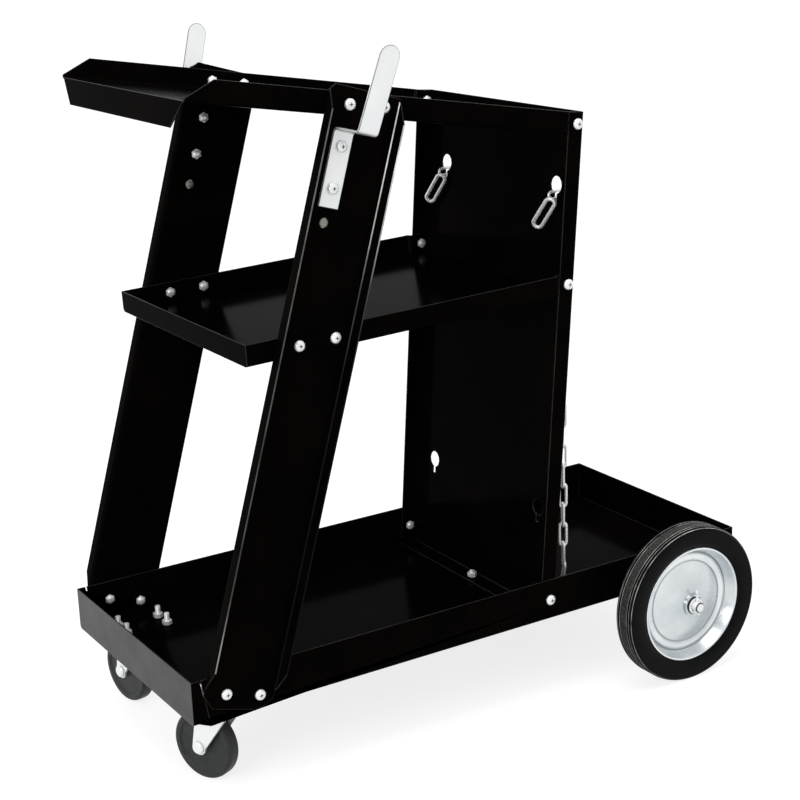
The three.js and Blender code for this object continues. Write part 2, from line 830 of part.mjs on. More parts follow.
function makeCasterPlate() {
  const plate = box(
    -casterPlateLength / 2,
    casterPlateLength / 2,
    -casterPlateWidth / 2,
    casterPlateWidth / 2,
    racewayTop,
    -fitGap,
  );
  const headTop = forkFoot - fitGap;
  const swivel = turned([
    [0, headTop - kingpinHead],
    [kingpinHeadRadius, headTop - kingpinHead],
    [kingpinHeadRadius, headTop],
    [kingpinRadius, headTop],
    [kingpinRadius, racewayFoot],
    [racewayRadius - racewayHeight / 2, racewayFoot],
    [racewayRadius, racewayTop - racewayHeight / 2],
    [racewayRadius, racewayTop + casterPlateThickness / 2],
    [0, racewayTop + casterPlateThickness / 2],
  ], axleSides).rotateX(Math.PI / 2);
  const holes = casterBoltPlaces.map(([x, y]) => holeZ(boltRadius, trayLip, boltSides).translate(x, y, 0));
  return cut(join(plate, swivel), holes);
}

function makeFork() {
  const bossPoints = [];
  for (let step = 0; step <= axleSides / 2; step += 1) {
    const angle = Math.PI * (step / (axleSides / 2));
    bossPoints.push([
      casterTrail + forkBossRadius * Math.cos(angle),
      casterAxle - forkBossRadius * Math.sin(angle),
    ]);
  }
  const cheek = [[-forkFront, forkTop], [forkBack, forkTop], ...bossPoints];
  const cheeks = sides.map((side) => plateY(
    cheek,
    Math.min(side.sign * forkInner, side.sign * forkOuter),
    Math.max(side.sign * forkInner, side.sign * forkOuter),
  ));
  const crown = box(-forkFront, forkBack, -forkOuter, forkOuter, forkFoot, forkTop);
  return cut(join(crown, ...cheeks), [
    holeZ(kingpinRadius, trayLip, axleSides).translate(0, 0, forkFoot),
    hole(casterPinRadius, trayWidth, axleSides).translate(casterTrail, 0, casterAxle),
  ]);
}

function makeCasterWheel() {
  const side = casterWheelWidth / 2;
  const recessRadius = casterWheelRadius - casterTreadHeight;
  const upper = [
    [casterWheelRadius, side - casterTreadEdge],
    [casterWheelRadius - casterTreadDrop, side - casterFaceInset],
    [recessRadius + casterRecessSlope, side - casterFaceInset],
    [recessRadius, side - casterRecess],
    [casterPinHeadRadius + casterHubWall, side - casterRecess],
    [casterPinHeadRadius, side],
    [casterPinRadius + fitGap, side],
  ];
  const lower = upper.map(([radius, along]) => [radius, -along]).reverse();
  return turnedRing([...lower, ...upper], casterSides);
}

function makeCasterPin() {
  const seat = forkOuter + fitGap;
  const right = [
    [casterPinRadius, seat],
    [casterPinHeadRadius, seat],
    [casterPinCrownRadius, seat + casterPinHead],
    [0, seat + casterPinHead],
  ];
  const left = right.map(([radius, along]) => [radius, -along]).reverse();
  return turned([...left, ...right], axleSides);
}

function makeCasters() {
  const group = new THREE.Group();
  for (const side of sides) {
    const mount = new THREE.Group();
    mount.position.set(casterX, side.sign * casterY, 0);
    const plate = new THREE.Mesh(makeCasterPlate(), zinc);
    plate.name = `${side.name}_caster_plate`;
    mount.add(plate);
    const swivel = new THREE.Group();
    swivel.rotation.z = casterTurn[side.name];
    const fork = new THREE.Mesh(makeFork(), zinc);
    fork.name = `${side.name}_caster_fork`;
    swivel.add(fork);
    const turning = [
      ['caster_wheel', makeCasterWheel(), tread],
      ['caster_axle', makeCasterPin(), zinc],
    ];
    for (const [name, geometry, material] of turning) {
      const mesh = new THREE.Mesh(geometry, material);
      mesh.name = `${side.name}_${name}`;
      mesh.position.set(casterTrail, 0, casterAxle);
      swivel.add(mesh);
    }
    mount.add(swivel);
    group.add(mount);
  }
  return group;
}

// Cylinder chain: two plumb runs behind the panel, joined by a run on the tray floor
const slotFoot = fromFrame(panelFrame, sheet, keyholeUpper - keySlotDrop);
const chainX = slotFoot[0] + chainBehindPanel;
const chainTopZ = slotFoot[1] + linkWire * 2;
const keyholeY = half - keyholeInset;

function makeChain() {
  const floorZ = sheet + fitGap + chainRadius;
  const corner = (y, z) => new THREE.Vector3(chainX, y, z);
  const route = new THREE.CurvePath();
  const bendTop = floorZ + chainBend;
  const bendY = keyholeY - chainBend;
  const [leftTop, leftHigh] = [corner(-keyholeY, chainTopZ), corner(-keyholeY, bendTop)];
  const [leftTurn, leftLow] = [corner(-keyholeY, floorZ), corner(-bendY, floorZ)];
  const [rightLow, rightTurn] = [corner(bendY, floorZ), corner(keyholeY, floorZ)];
  const [rightHigh, rightTop] = [corner(keyholeY, bendTop), corner(keyholeY, chainTopZ)];
  route.add(new THREE.LineCurve3(leftTop, leftHigh));
  route.add(new THREE.QuadraticBezierCurve3(leftHigh, leftTurn, leftLow));
  route.add(new THREE.LineCurve3(leftLow, rightLow));
  route.add(new THREE.QuadraticBezierCurve3(rightLow, rightTurn, rightHigh));
  route.add(new THREE.LineCurve3(rightHigh, rightTop));
  const section = outline(Array.from({ length: chainSides }, (_, i) => {
    const angle = (Math.PI * 2 * i) / chainSides;
    return [chainRadius * Math.cos(angle), chainRadius * Math.sin(angle)];
  }));
  return new THREE.ExtrudeGeometry(section, { steps: chainSteps, extrudePath: route });
}

// The last link of the chain lies across its slot, in front of the panel
function makeEndLink() {
  const round = (linkWidth - 2 * linkWire) / 2;
  const straight = linkLength - linkWidth;
  const points = [];
  for (let step = 0; step < axleSides; step += 1) {
    const angle = (Math.PI * 2 * (step + 0.5)) / axleSides;
    const shift = Math.sin(angle) > 0 ? 0 : -straight;
    points.push(new THREE.Vector3(0, round * Math.cos(angle), round * Math.sin(angle) + shift));
  }
  const ring = new THREE.CatmullRomCurve3(points, true);
  const loop = new THREE.TubeGeometry(ring, axleSides + boltSides, linkWire, boltSides, true);
  loop.translate(0, 0, -round).rotateX(linkSlant);
  const backReach = sheet + chainBehindPanel - chainRadius - fitGap;
  const frontReach = linkWire * 2 + fitGap;
  const bar = rodX(linkWire, backReach + frontReach * 2, boltSides);
  bar.translate((backReach - frontReach * 2) / 2, 0, 0);
  return join(loop.translate(-frontReach, 0, 0), bar);
}

// Assembly
const cart = new THREE.Group();
const chassis = new THREE.Group();
chassis.position.set(-trayLength / 2, 0, trayClearance);
cart.add(chassis);

chassis.add(placed('base_tray', makeTray(), coat));
chassis.add(placed('middle_shelf', makeMiddleShelf(), coat, middleFrame));
chassis.add(placed('top_shelf', makeTopShelf(), coat, topFrame));
chassis.add(placed('rear_panel', makePanel(), coat, panelFrame));
for (const side of sides) {
  const y = side.sign * legFace;
  chassis.add(placed(`${side.name}_leg`, onSide(makeLeg(), side), coat, legFrame, y));
  chassis.add(placed(`${side.name}_cable_hook`, onSide(makeHook(), side), zinc, legFrame, y));
}
chassis.add(makeBolts());
chassis.add(makeWheels());
chassis.add(makeCasters());
chassis.add(placed('cylinder_chain', makeChain(), chainSteel));
for (const side of sides) {
  const height = keyholeUpper - keySlotDrop + linkWire + fitGap;
  const [x, z] = fromFrame(panelFrame, 0, height);
  const link = placed(`${side.name}_chain_end_link`, makeEndLink(), chainSteel, { x, z, turn: panelLean });
  link.position.y = side.sign * keyholeY;
  chassis.add(link);
}

export default cart;
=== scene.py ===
# %% [markdown]
# A welding cart is bent black sheet, bright zinc fasteners, two rubber-tyred wheels, two
# swivel casters and a chain. The frame already holds every piece at its real size, so this
# lesson only dresses it: it rounds the edges, turns the round pieces finely, bends the chain
# link by link and gives each finish its own grain.

# %% Load the frame
import json
import math
import bmesh
import bpy
from mathutils import Matrix, Vector


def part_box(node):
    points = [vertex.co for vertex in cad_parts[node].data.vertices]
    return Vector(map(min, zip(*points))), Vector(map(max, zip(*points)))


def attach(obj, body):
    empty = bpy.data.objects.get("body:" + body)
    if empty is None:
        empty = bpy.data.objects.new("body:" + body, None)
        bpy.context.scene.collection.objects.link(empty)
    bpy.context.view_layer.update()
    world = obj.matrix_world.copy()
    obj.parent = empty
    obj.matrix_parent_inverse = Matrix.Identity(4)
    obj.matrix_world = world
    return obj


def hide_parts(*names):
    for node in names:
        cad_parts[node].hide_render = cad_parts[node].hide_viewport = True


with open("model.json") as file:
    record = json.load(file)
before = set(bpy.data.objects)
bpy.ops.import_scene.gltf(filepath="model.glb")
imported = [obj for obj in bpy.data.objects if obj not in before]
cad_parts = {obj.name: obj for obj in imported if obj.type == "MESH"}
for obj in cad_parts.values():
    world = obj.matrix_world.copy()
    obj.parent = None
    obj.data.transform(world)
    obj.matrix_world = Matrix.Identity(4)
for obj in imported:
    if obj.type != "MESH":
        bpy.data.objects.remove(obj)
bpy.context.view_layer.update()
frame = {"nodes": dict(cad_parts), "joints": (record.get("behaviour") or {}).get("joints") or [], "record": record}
MM = 0.001
SIDES = {"left": -1, "right": 1}
scene = bpy.context.scene

# %% [markdown]
# The camera comes first, because every judgement of a finish depends on the view. Its place
# and turn were worked out from the straight edges of the base tray, which is a plain box
# with parallel sides. Three unit vectors give its turn: right, up and backwards.

# %% Camera
CAMERA_PLACE = Vector((-0.96387, -1.556304, 0.882186))
CAMERA_RIGHT = Vector((0.846984, -0.530515, -0.034238))
CAMERA_DOWN = Vector((-0.180628, -0.226609, -0.95709))
CAMERA_LENS = 77.575

camera_data = bpy.data.cameras.new("cart_camera")
camera_data.lens = CAMERA_LENS
camera = bpy.data.objects.new("cart_camera", camera_data)
backwards = CAMERA_RIGHT.cross(-CAMERA_DOWN)
camera_turn = Matrix((CAMERA_RIGHT, -CAMERA_DOWN, backwards)).transposed()
camera.matrix_world = Matrix.Translation(CAMERA_PLACE) @ camera_turn.to_4x4()
scene.collection.objects.link(camera)
scene.camera = camera
print("camera looks along", [round(-value, 3) for value in backwards])

# %% [markdown]
# The studio is a white sky over a pale floor. What the camera and the shiny metal see of the
# sky is pure white, while the light that falls on the cart stays at a plain level, so a colour
# renders about as it is written. The Light Path node tells these rays apart.

# %% Sky
SKY_LIGHT = 0.95
WHITE = (1.0, 1.0, 1.0, 1.0)
SEEN_RAYS = ["Is Camera Ray", "Is Glossy Ray", "Is Transmission Ray"]


def seen_rays(tree):
    path = tree.nodes.new("ShaderNodeLightPath")
    total = path.outputs[SEEN_RAYS[0]]
    for name in SEEN_RAYS[1:]:
        either = tree.nodes.new("ShaderNodeMath")
        either.operation = "MAXIMUM"
        tree.links.new(total, either.inputs[0])
        tree.links.new(path.outputs[name], either.inputs[1])
        total = either.outputs[0]
    return total


world = bpy.data.worlds.new("white_studio")
world.use_nodes = True
scene.world = world
sky = world.node_tree
sky.nodes.clear()
plain_sky = sky.nodes.new("ShaderNodeBackground")
plain_sky.inputs["Strength"].default_value = SKY_LIGHT
white_sky = sky.nodes.new("ShaderNodeBackground")
for background in (plain_sky, white_sky):
    background.inputs["Color"].default_value = WHITE
sky_mix = sky.nodes.new("ShaderNodeMixShader")
sky_out = sky.nodes.new("ShaderNodeOutputWorld")
sky.links.new(seen_rays(sky), sky_mix.inputs[0])
sky.links.new(plain_sky.outputs[0], sky_mix.inputs[1])
sky.links.new(white_sky.outputs[0], sky_mix.inputs[2])
sky.links.new(sky_mix.outputs[0], sky_out.inputs[0])
print("sky light", SKY_LIGHT)

# %% [markdown]
# The floor is one large square of matt paint. A white floor would throw light up at the cart,
# so its paint is a middle grey, and a glow that only seen rays meet lifts it to white. The
# paint still darkens under the cart, which keeps the shadow.

# %% Floor
FLOOR_SIZE = 60.0
FLOOR_COLOUR = (0.32, 0.32, 0.32, 1.0)
FLOOR_GLOW = 0.78

floor_mesh = bpy.data.meshes.new("studio_floor")
floor_bm = bmesh.new()
bmesh.ops.create_grid(floor_bm, x_segments=1, y_segments=1, size=FLOOR_SIZE / 2)
floor_bm.to_mesh(floor_mesh)
floor_bm.free()
floor = bpy.data.objects.new("studio_floor", floor_mesh)
scene.collection.objects.link(floor)
floor_paint = bpy.data.materials.new("studio_floor")
floor_paint.use_nodes = True
paint = floor_paint.node_tree
paint.nodes.clear()
matt = paint.nodes.new("ShaderNodeBsdfDiffuse")
matt.inputs["Color"].default_value = FLOOR_COLOUR
glow = paint.nodes.new("ShaderNodeEmission")
glow_amount = paint.nodes.new("ShaderNodeMath")
glow_amount.operation = "MULTIPLY"
glow_amount.inputs[1].default_value = FLOOR_GLOW
together = paint.nodes.new("ShaderNodeAddShader")
paint_out = paint.nodes.new("ShaderNodeOutputMaterial")
paint.links.new(seen_rays(paint), glow_amount.inputs[0])
paint.links.new(glow_amount.outputs[0], glow.inputs["Strength"])
paint.links.new(matt.outputs[0], together.inputs[0])
paint.links.new(glow.outputs[0], together.inputs[1])
paint.links.new(together.outputs[0], paint_out.inputs["Surface"])
floor_mesh.materials.append(floor_paint)
print("floor", FLOOR_SIZE, "m across")

# %% [markdown]
# Two broad soft lamps shape the bends of the sheet. A disk gives round highlights on the
# screw heads, as a studio's soft box does. One hangs over the cart and one stands before it.

# %% Lamps
CART_MIDDLE = Vector((0.0, 0.0, 0.35))
LAMP_POWER = 22.0
LAMPS = {
    "overhead_lamp": (Vector((-0.4, -0.5, 2.6)), 1.6),
    "front_lamp": (Vector((-2.2, -1.0, 1.2)), 1.2),
}


def soft_lamp(name, place, size):
    data = bpy.data.lights.new(name, "AREA")
    data.shape = "DISK"
    data.size = size
    data.energy = LAMP_POWER
    lamp = bpy.data.objects.new(name, data)
    lamp.location = place
    lamp.rotation_mode = "QUATERNION"
    lamp.rotation_quaternion = (CART_MIDDLE - place).to_track_quat("-Z", "Y")
    scene.collection.objects.link(lamp)


for name, (place, size) in LAMPS.items():
    soft_lamp(name, place, size)
scene.view_settings.view_transform = "Standard"
print("lamps", len(LAMPS), "at", LAMP_POWER, "W")

# %% [markdown]
# Every finish is a Principled shader with a grain. Noise on the Object coordinates varies
# the colour in patches, and a finer noise varies the roughness and drives a bump, so the grain
# stays on the metal when a piece moves. One function holds this wiring, because the finishes
# differ only in their numbers. Gloss gives the least and the most roughness, patch and grain
# are the scales of the two noises, and depth is the bump's height in thousandths of a
# millimetre. What is the same all over a surface is set straight on its socket.

# %% Finish helper
MICRON = 1e-6
PATCH_DETAIL = 4.0
GRAIN_DETAIL = 3.0
PATCH_LEVELS = (0.32, 0.68)
GRAIN_LEVELS = (0.3, 0.7)
BUMP_STRENGTH = 0.6


def noise(tree, coordinates, scale, detail):
    node = tree.nodes.new("ShaderNodeTexNoise")
    node.inputs["Scale"].default_value = scale
    node.inputs["Detail"].default_value = detail
    tree.links.new(coordinates, node.inputs["Vector"])
    return node.outputs["Fac"]


def finish_of(name, dark, light, gloss, patch, grain, depth, **sockets):
    material = bpy.data.materials.new(name)
    material.use_nodes = True
    tree = material.node_tree
    shader = tree.nodes["Principled BSDF"]
    place = tree.nodes.new("ShaderNodeTexCoord").outputs["Object"]
    patches = noise(tree, place, patch, PATCH_DETAIL)
    grains = noise(tree, place, grain, GRAIN_DETAIL)
    colour = tree.nodes.new("ShaderNodeValToRGB")
    for element, level, tone in zip(colour.color_ramp.elements, PATCH_LEVELS, (dark, light)):
        element.position = level
        element.color = (*tone, 1.0)
    tree.links.new(patches, colour.inputs["Fac"])
    tree.links.new(colour.outputs["Color"], shader.inputs["Base Color"])
    roughness = tree.nodes.new("ShaderNodeMapRange")
    for bound, level, value in zip(("Min", "Max"), GRAIN_LEVELS, gloss):
        roughness.inputs[f"From {bound}"].default_value = level
        roughness.inputs[f"To {bound}"].default_value = value
    tree.links.new(grains, roughness.inputs["Value"])
    tree.links.new(roughness.outputs["Result"], shader.inputs["Roughness"])
    bump = tree.nodes.new("ShaderNodeBump")
    bump.inputs["Strength"].default_value = BUMP_STRENGTH
    bump.inputs["Distance"].default_value = depth * MICRON
    tree.links.new(grains, bump.inputs["Height"])
    tree.links.new(bump.outputs["Normal"], shader.inputs["Normal"])
    for socket, value in sockets.items():
        shader.inputs[socket.replace("_", " ")].default_value = value
    return material


print("a finish blends its two colours between noise levels", *PATCH_LEVELS)

# %% [markdown]
# The sheet is powder coated: sprayed as dust and baked, so it is black and smooth but for a
# fine orange peel. Zinc plate is bright with faint cloudy patches. The wheel pressings are the
# same plate on a drawn sheet, so their patches are larger and greyer. Rubber has a low sheen
# and a fine skin, and the caster tread is a greyer mix.

# %% Finishes
FINISHES = {
    "black_coat": finish_of(
        "black_powder_coat", (0.0011, 0.0010, 0.0010), (0.0026, 0.0020, 0.0017),
        gloss=(0.10, 0.17), patch=14.0, grain=500.0, depth=3.0,
        Specular_IOR_Level=0.003, Specular_Tint=(1.0, 0.66, 0.42, 1.0),
    ),
    "bright_zinc": finish_of(
        "bright_zinc_plate", (0.83, 0.85, 0.86), (0.90, 0.91, 0.91),
        gloss=(0.24, 0.27), patch=30.0, grain=700.0, depth=0.3, Metallic=0.4,
    ),
    "wheel_steel": finish_of(
        "drawn_zinc_plate", (0.52, 0.56, 0.58), (0.80, 0.82, 0.83),
        gloss=(0.2, 0.28), patch=13.0, grain=500.0, depth=1.0, Metallic=0.9,
    ),
    "black_rubber": finish_of(
        "tyre_rubber", (0.0012, 0.0014, 0.0015), (0.0026, 0.0029, 0.0030),
        gloss=(0.40, 0.54), patch=60.0, grain=900.0, depth=30.0, Specular_IOR_Level=0.06,
    ),
    "grey_tread": finish_of(
        "caster_rubber", (0.021, 0.0225, 0.0225), (0.031, 0.0325, 0.0325),
        gloss=(0.4, 0.55), patch=80.0, grain=900.0, depth=30.0, Specular_IOR_Level=0.2,
    ),
    "chain_steel": finish_of(
        "chain_zinc_plate", (0.90, 0.91, 0.91), (0.97, 0.97, 0.96),
        gloss=(0.2, 0.34), patch=120.0, grain=800.0, depth=1.0, Metallic=0.35,
    ),
}
print("finishes", ", ".join(sorted(FINISHES)))

# %% [markdown]
# A single finish over a whole piece looks new and flat. Baked powder draws back from a sheared edge and is rubbed
# pale there, and that pale line on the bevels is a painted highlight as well. The grey on the tray's front lip is
# painted light, the light from the floor that the lip reflects. The bevels of the zinc strip are darker. The dark
# in screw recesses, in rim creases, round the washer and on the axle's chamfers is painted shade, and the light
# lines at the edges of the tyre's ribs are painted highlights. Each of these is a second finish on a few faces of
# a piece.

# %% Edge finishes
EDGE_FINISHES = {
    # Pale line on the bevels of coated sheet: rubbed paint and a painted highlight.
    "edge_highlight_and_wear": finish_of(
        "coat_edge_line_painted_highlight_and_wear", (0.010, 0.0095, 0.0090), (0.034, 0.031, 0.027),
        gloss=(0.22, 0.34), patch=40.0, grain=700.0, depth=5.0, Specular_IOR_Level=0.15,
    ),
    # Grey for the tray's front lip: painted light, the floor light that the lip reflects.
    "lip_painted_light": finish_of(
        "coat_lip_painted_floor_light", (0.034, 0.037, 0.035), (0.058, 0.061, 0.058),
        gloss=(0.3, 0.45), patch=30.0, grain=600.0, depth=6.0, Specular_IOR_Level=0.1,
    ),
    # Pale line on a leg's front free edge: wear and a painted highlight.
    "rubbed_edge_and_highlight": finish_of(
        "coat_edge_rubbed_and_painted_highlight", (0.10, 0.10, 0.095), (0.34, 0.34, 0.32),
        gloss=(0.3, 0.45), patch=40.0, grain=700.0, depth=5.0, Specular_IOR_Level=0.08,
    ),
    # Painted highlight for the hollow of a leg's rear bend and its rear free edge.
    "painted_bend_highlight": finish_of(
        "coat_bend_painted_highlight", (0.40, 0.40, 0.38), (0.85, 0.85, 0.83),
        gloss=(0.3, 0.45), patch=40.0, grain=700.0, depth=5.0, Specular_IOR_Level=0.03,
    ),
    # Painted shade for screw recesses, the hub's end round the washer, the washer's rim and back, and the axle's
    # chamfers.
    "recess": finish_of(
        "plate_recess_painted_shade", (0.020, 0.021, 0.022), (0.050, 0.052, 0.054),
        gloss=(0.4, 0.6), patch=120.0, grain=900.0, depth=8.0, Specular_IOR_Level=0.3,
    ),
    "zinc_edge": finish_of(
        "zinc_edge_dark", (0.13, 0.135, 0.14), (0.26, 0.265, 0.27),
        gloss=(0.35, 0.5), patch=90.0, grain=900.0, depth=5.0, Specular_IOR_Level=0.4,
    ),
    # Painted shade in the rim's creases.
    "crease": finish_of(
        "rim_crease_painted_shade", (0.27, 0.30, 0.31), (0.50, 0.53, 0.54),
        gloss=(0.3, 0.45), patch=14.0, grain=900.0, depth=5.0, Metallic=0.6,
    ),
    # Painted highlight lines at the edges of the tyre's ribs.
    "rib_highlight": finish_of(
        "tyre_rib_painted_highlight", (0.06, 0.06, 0.06), (0.50, 0.50, 0.48),
        gloss=(0.4, 0.55), patch=60.0, grain=900.0, depth=8.0, Specular_IOR_Level=0.1,
    ),
    "stipple": finish_of(
        "tyre_tread_stipple", (0.0004, 0.0004, 0.0004), (0.075, 0.075, 0.072),
        gloss=(0.4, 0.55), patch=640.0, grain=900.0, depth=8.0, Specular_IOR_Level=0.06,
    ),
    "plug": finish_of(
        "hole_plug_dull", (0.20, 0.205, 0.17), (0.30, 0.305, 0.26),
        gloss=(0.4, 0.55), patch=160.0, grain=900.0, depth=5.0, Metallic=0.3,
    ),
}
print("edge finishes", ", ".join(sorted(EDGE_FINISHES)))

# %% [markdown]
# Along a leg the pale lines change with height. Hands and cables rub the top and shoes the foot, so the worn line
# on the front edge, which is also a painted highlight, is palest at the foot and brighter again near the top. The
# painted highlight in the rear bend is bright only near the top and fades to dark lower down. Painting this by
# hand would need an image, so a colour ramp on the height dims the pale lines instead. Each stop of a fade is a
# share of the leg's height and the brightness there.

# %% Wear and painted highlight along the legs
LEG_FOOT = 0.10
LEG_TOP = 0.70
EDGE_FADE = [(0.0, 1.0), (0.12, 1.0), (0.24, 0.3), (0.66, 0.3), (0.8, 0.6)]
BEND_HIGHLIGHT_FADE = [(0.0, 0.004), (0.55, 0.01), (0.68, 0.1), (0.84, 1.0), (1.0, 1.0)]


def fade_by_height(material, stops):
    tree = material.node_tree
    shader = tree.nodes["Principled BSDF"]
    colour = shader.inputs["Base Color"].links[0].from_socket
    height = tree.nodes.new("ShaderNodeSeparateXYZ")
    tree.links.new(tree.nodes["Texture Coordinate"].outputs["Object"], height.inputs[0])
    share = tree.nodes.new("ShaderNodeMapRange")
    share.inputs["From Min"].default_value = LEG_FOOT
    share.inputs["From Max"].default_value = LEG_TOP
    tree.links.new(height.outputs["Z"], share.inputs["Value"])
    dim = tree.nodes.new("ShaderNodeValToRGB")
    while len(dim.color_ramp.elements) < len(stops):
        dim.color_ramp.elements.new(0.5)
    for element, (place, level) in zip(dim.color_ramp.elements, stops):
        element.position = place
        element.color = (level, level, level, 1.0)
    tree.links.new(share.outputs["Result"], dim.inputs["Fac"])
    product = tree.nodes.new("ShaderNodeMix")
    product.data_type = "RGBA"
    product.blend_type = "MULTIPLY"
    product.inputs["Factor"].default_value = 1.0
    tree.links.new(colour, product.inputs["A"])
    tree.links.new(dim.outputs["Color"], product.inputs["B"])
    tree.links.new(product.outputs["Result"], shader.inputs["Base Color"])


# The front edge line, wear with a painted highlight, is palest at the foot, dim in the middle and brighter near
# the top.
fade_by_height(EDGE_FINISHES["rubbed_edge_and_highlight"], EDGE_FADE)
# The painted highlight in the rear bend fades to dark lower down the leg.
fade_by_height(EDGE_FINISHES["painted_bend_highlight"], BEND_HIGHLIGHT_FADE)
print("leg wear from", LEG_FOOT, "to", LEG_TOP, "m")

# %% [markdown]
# A finished piece is an object at the origin with its place in its mesh. It takes its finish
# from a slot, rides on the body of the node that it stands for, and hides that node. Smooth
# shading with a sharp limit and weighted normals keeps flats flat between rounded edges.

# %% Piece helper
SHARP_EDGE = math.radians(50)
slot_of_node = {part["node"]: part["material_slot"] for part in frame["record"]["subparts"]}
body_of_node = {}
for body, nodes in frame["record"]["behaviour"]["bodies"].items():
    for node in nodes:
        body_of_node[node] = body


def smooth_object(name, bm, materials):
    mesh = bpy.data.meshes.new(name)
    bm.to_mesh(mesh)
    bm.free()
    for material in materials:
        mesh.materials.append(material)
    mesh.shade_smooth()
    piece = bpy.data.objects.new(name, mesh)
    scene.collection.objects.link(piece)
    return piece


def finish_piece(name, bm, node, *edge_finishes):
    """Faces with material index 0 take the node's own finish, and 1 and up the edge finishes."""
    own_finish = FINISHES[slot_of_node[node]]
    piece = smooth_object(name, bm, [own_finish] + [EDGE_FINISHES[edge] for edge in edge_finishes])
    piece.data.set_sharp_from_angle(angle=SHARP_EDGE)
    weighted = piece.modifiers.new("flat_faces", "WEIGHTED_NORMAL")
    weighted.keep_sharp = True
    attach(piece, body_of_node[node])
    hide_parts(node)
    return piece


print("nodes with a slot", len(slot_of_node), "and with a body", len(body_of_node))

# %% [markdown]
# A bevel is the one tool that every rounded edge here shares. The edges to round are found by
# the angle between their two faces, because the frame's pieces have no marked edges.

# %% Edge helper
BEVEL_STEPS = 2


def sharp_edges(bm, angle):
    return [edge for edge in bm.edges if len(edge.link_faces) == 2 and edge.calc_face_angle() > angle]


def round_edges(bm, edges, radius, segments=BEVEL_STEPS):
    return bmesh.ops.bevel(
        bm, geom=edges, offset=radius, offset_type="OFFSET", affect="EDGES",
        segments=segments, profile=0.5, material=-1, clamp_overlap=False,
    )["faces"]


print("a rounded edge has", BEVEL_STEPS, "steps")

# %% [markdown]
# The tray, shelves, panel, legs and hooks are folded sheet whose shape is already right in the frame. Real sheet
# has no razor edge, and on black paint a rounded edge is what catches the light, so each is copied, its loose
# triangles are merged, its flats are joined and its sharp edges get a small bevel. On coated sheet the bevel's own
# faces take a paler finish, a painted highlight with some wear. The front face of the tray's lip takes a grey one,
# which is painted light standing in for the floor light that the lip reflects.

# %% Folded sheet
SHEET_EDGE = 0.35 * MM
MERGE = 0.01 * MM
FLAT = math.radians(0.5)
COATED = ["base_tray", "middle_shelf", "top_shelf", "rear_panel"]
FORWARD = -0.9
tray_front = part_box("base_tray")[0].x


def merged_copy(node):
    bm = bmesh.new()
    bm.from_mesh(frame["nodes"][node].data)
    bmesh.ops.remove_doubles(bm, verts=bm.verts, dist=MERGE)
    bmesh.ops.dissolve_limit(bm, angle_limit=FLAT, verts=bm.verts, edges=bm.edges)
    return bm


def rounded_copy(node, radius):
    sheet = merged_copy(node)
    for face in round_edges(sheet, sharp_edges(sheet, SHARP_EDGE), radius):
        face.material_index = 1
    return sheet


for node in COATED:
    sheet = rounded_copy(node, SHEET_EDGE)
    # The tray's forward-facing front face gets painted light: the grey of the floor light that it reflects.
    for face in sheet.faces:
        if face.normal.x < FORWARD and face.calc_center_median().x < tray_front + MM:
            face.material_index = 2
    made = finish_piece(f"{node}_folded", sheet, node, "edge_highlight_and_wear", "lip_painted_light")
    print(made.name, len(made.data.polygons), "faces")

# %% [markdown]
# A leg is a channel that stands open to the outside. Its front flange shows its free edge to the viewer as a pale
# line of rubbed paint and painted highlight. The hollow of the rear bend and the rear free edge take a painted
# highlight that is brightest near the top. Both are picked by where their faces lie and which way they point.

# %% Legs
LEG_LEAN = math.radians(16.7)
FREE_EDGE_DEPTH = 0.6 * MM
BEND_FACE = 300 * MM * MM
BEND_ACROSS = (0.5, 0.9)
BEND_FORWARD = -0.3


def mark_leg(leg, sign, lowest, highest):
    middle = (lowest + highest) / 2
    outer = highest.y if sign > 0 else lowest.y
    for face in leg.faces:
        centre = face.calc_center_median()
        in_front = centre.x < middle.x + (centre.z - middle.z) * math.tan(LEG_LEAN)
        free = all(abs(vert.co.y - outer) < FREE_EDGE_DEPTH for vert in face.verts)
        slanted = BEND_ACROSS[0] < face.normal.y * sign < BEND_ACROSS[1]
        hollow = slanted and face.normal.x < BEND_FORWARD and face.calc_area() > BEND_FACE
        # Front free edge: a pale line of wear and painted highlight. Rear free edge and the hollow of the rear
        # bend: a painted highlight.
        if free and in_front:
            face.material_index = 2
        elif free or hollow:
            face.material_index = 3


for side, sign in SIDES.items():
    node = f"{side}_leg"
    leg = rounded_copy(node, SHEET_EDGE)
    mark_leg(leg, sign, *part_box(node))
    counts = [sum(face.material_index == number for face in leg.faces) for number in range(4)]
    made = finish_piece(f"{node}_folded", leg, node, "edge_highlight_and_wear", "rubbed_edge_and_highlight", "painted_bend_highlight")
    print(made.name, "faces by finish", counts)

# %% [markdown]
# The cable hooks and caster forks are bent from bare zinc strip. Their bevels take a darker finish, which draws a
# thin outline round the bright face, so their bevel is wider than the sheet's.

# %% Hooks and forks
STRIP_EDGE = {"cable_hook": 0.7 * MM, "caster_fork": 0.45 * MM}
for side in SIDES:
    for part, radius in STRIP_EDGE.items():
        node = f"{side}_{part}"
        made = finish_piece(f"{node}_folded", rounded_copy(node, radius), node, "zinc_edge")
        print(made.name, len(made.data.polygons), "faces")

# %% [markdown]
# Round pieces are turned: a section is drawn beside the axis and spun a full turn. The spin
# joins its ends, points on the axis are merged into one pole, and the normals are set to
# face out. The rings of edges that are still sharp are then rounded. A section is a list of
# radius and place along the axis, in millimetres, and it is drawn for the right side.

# %% Turning helper
TURNED_SHARP = math.radians(18)
ALONG_Y = Vector((0, 1, 0))


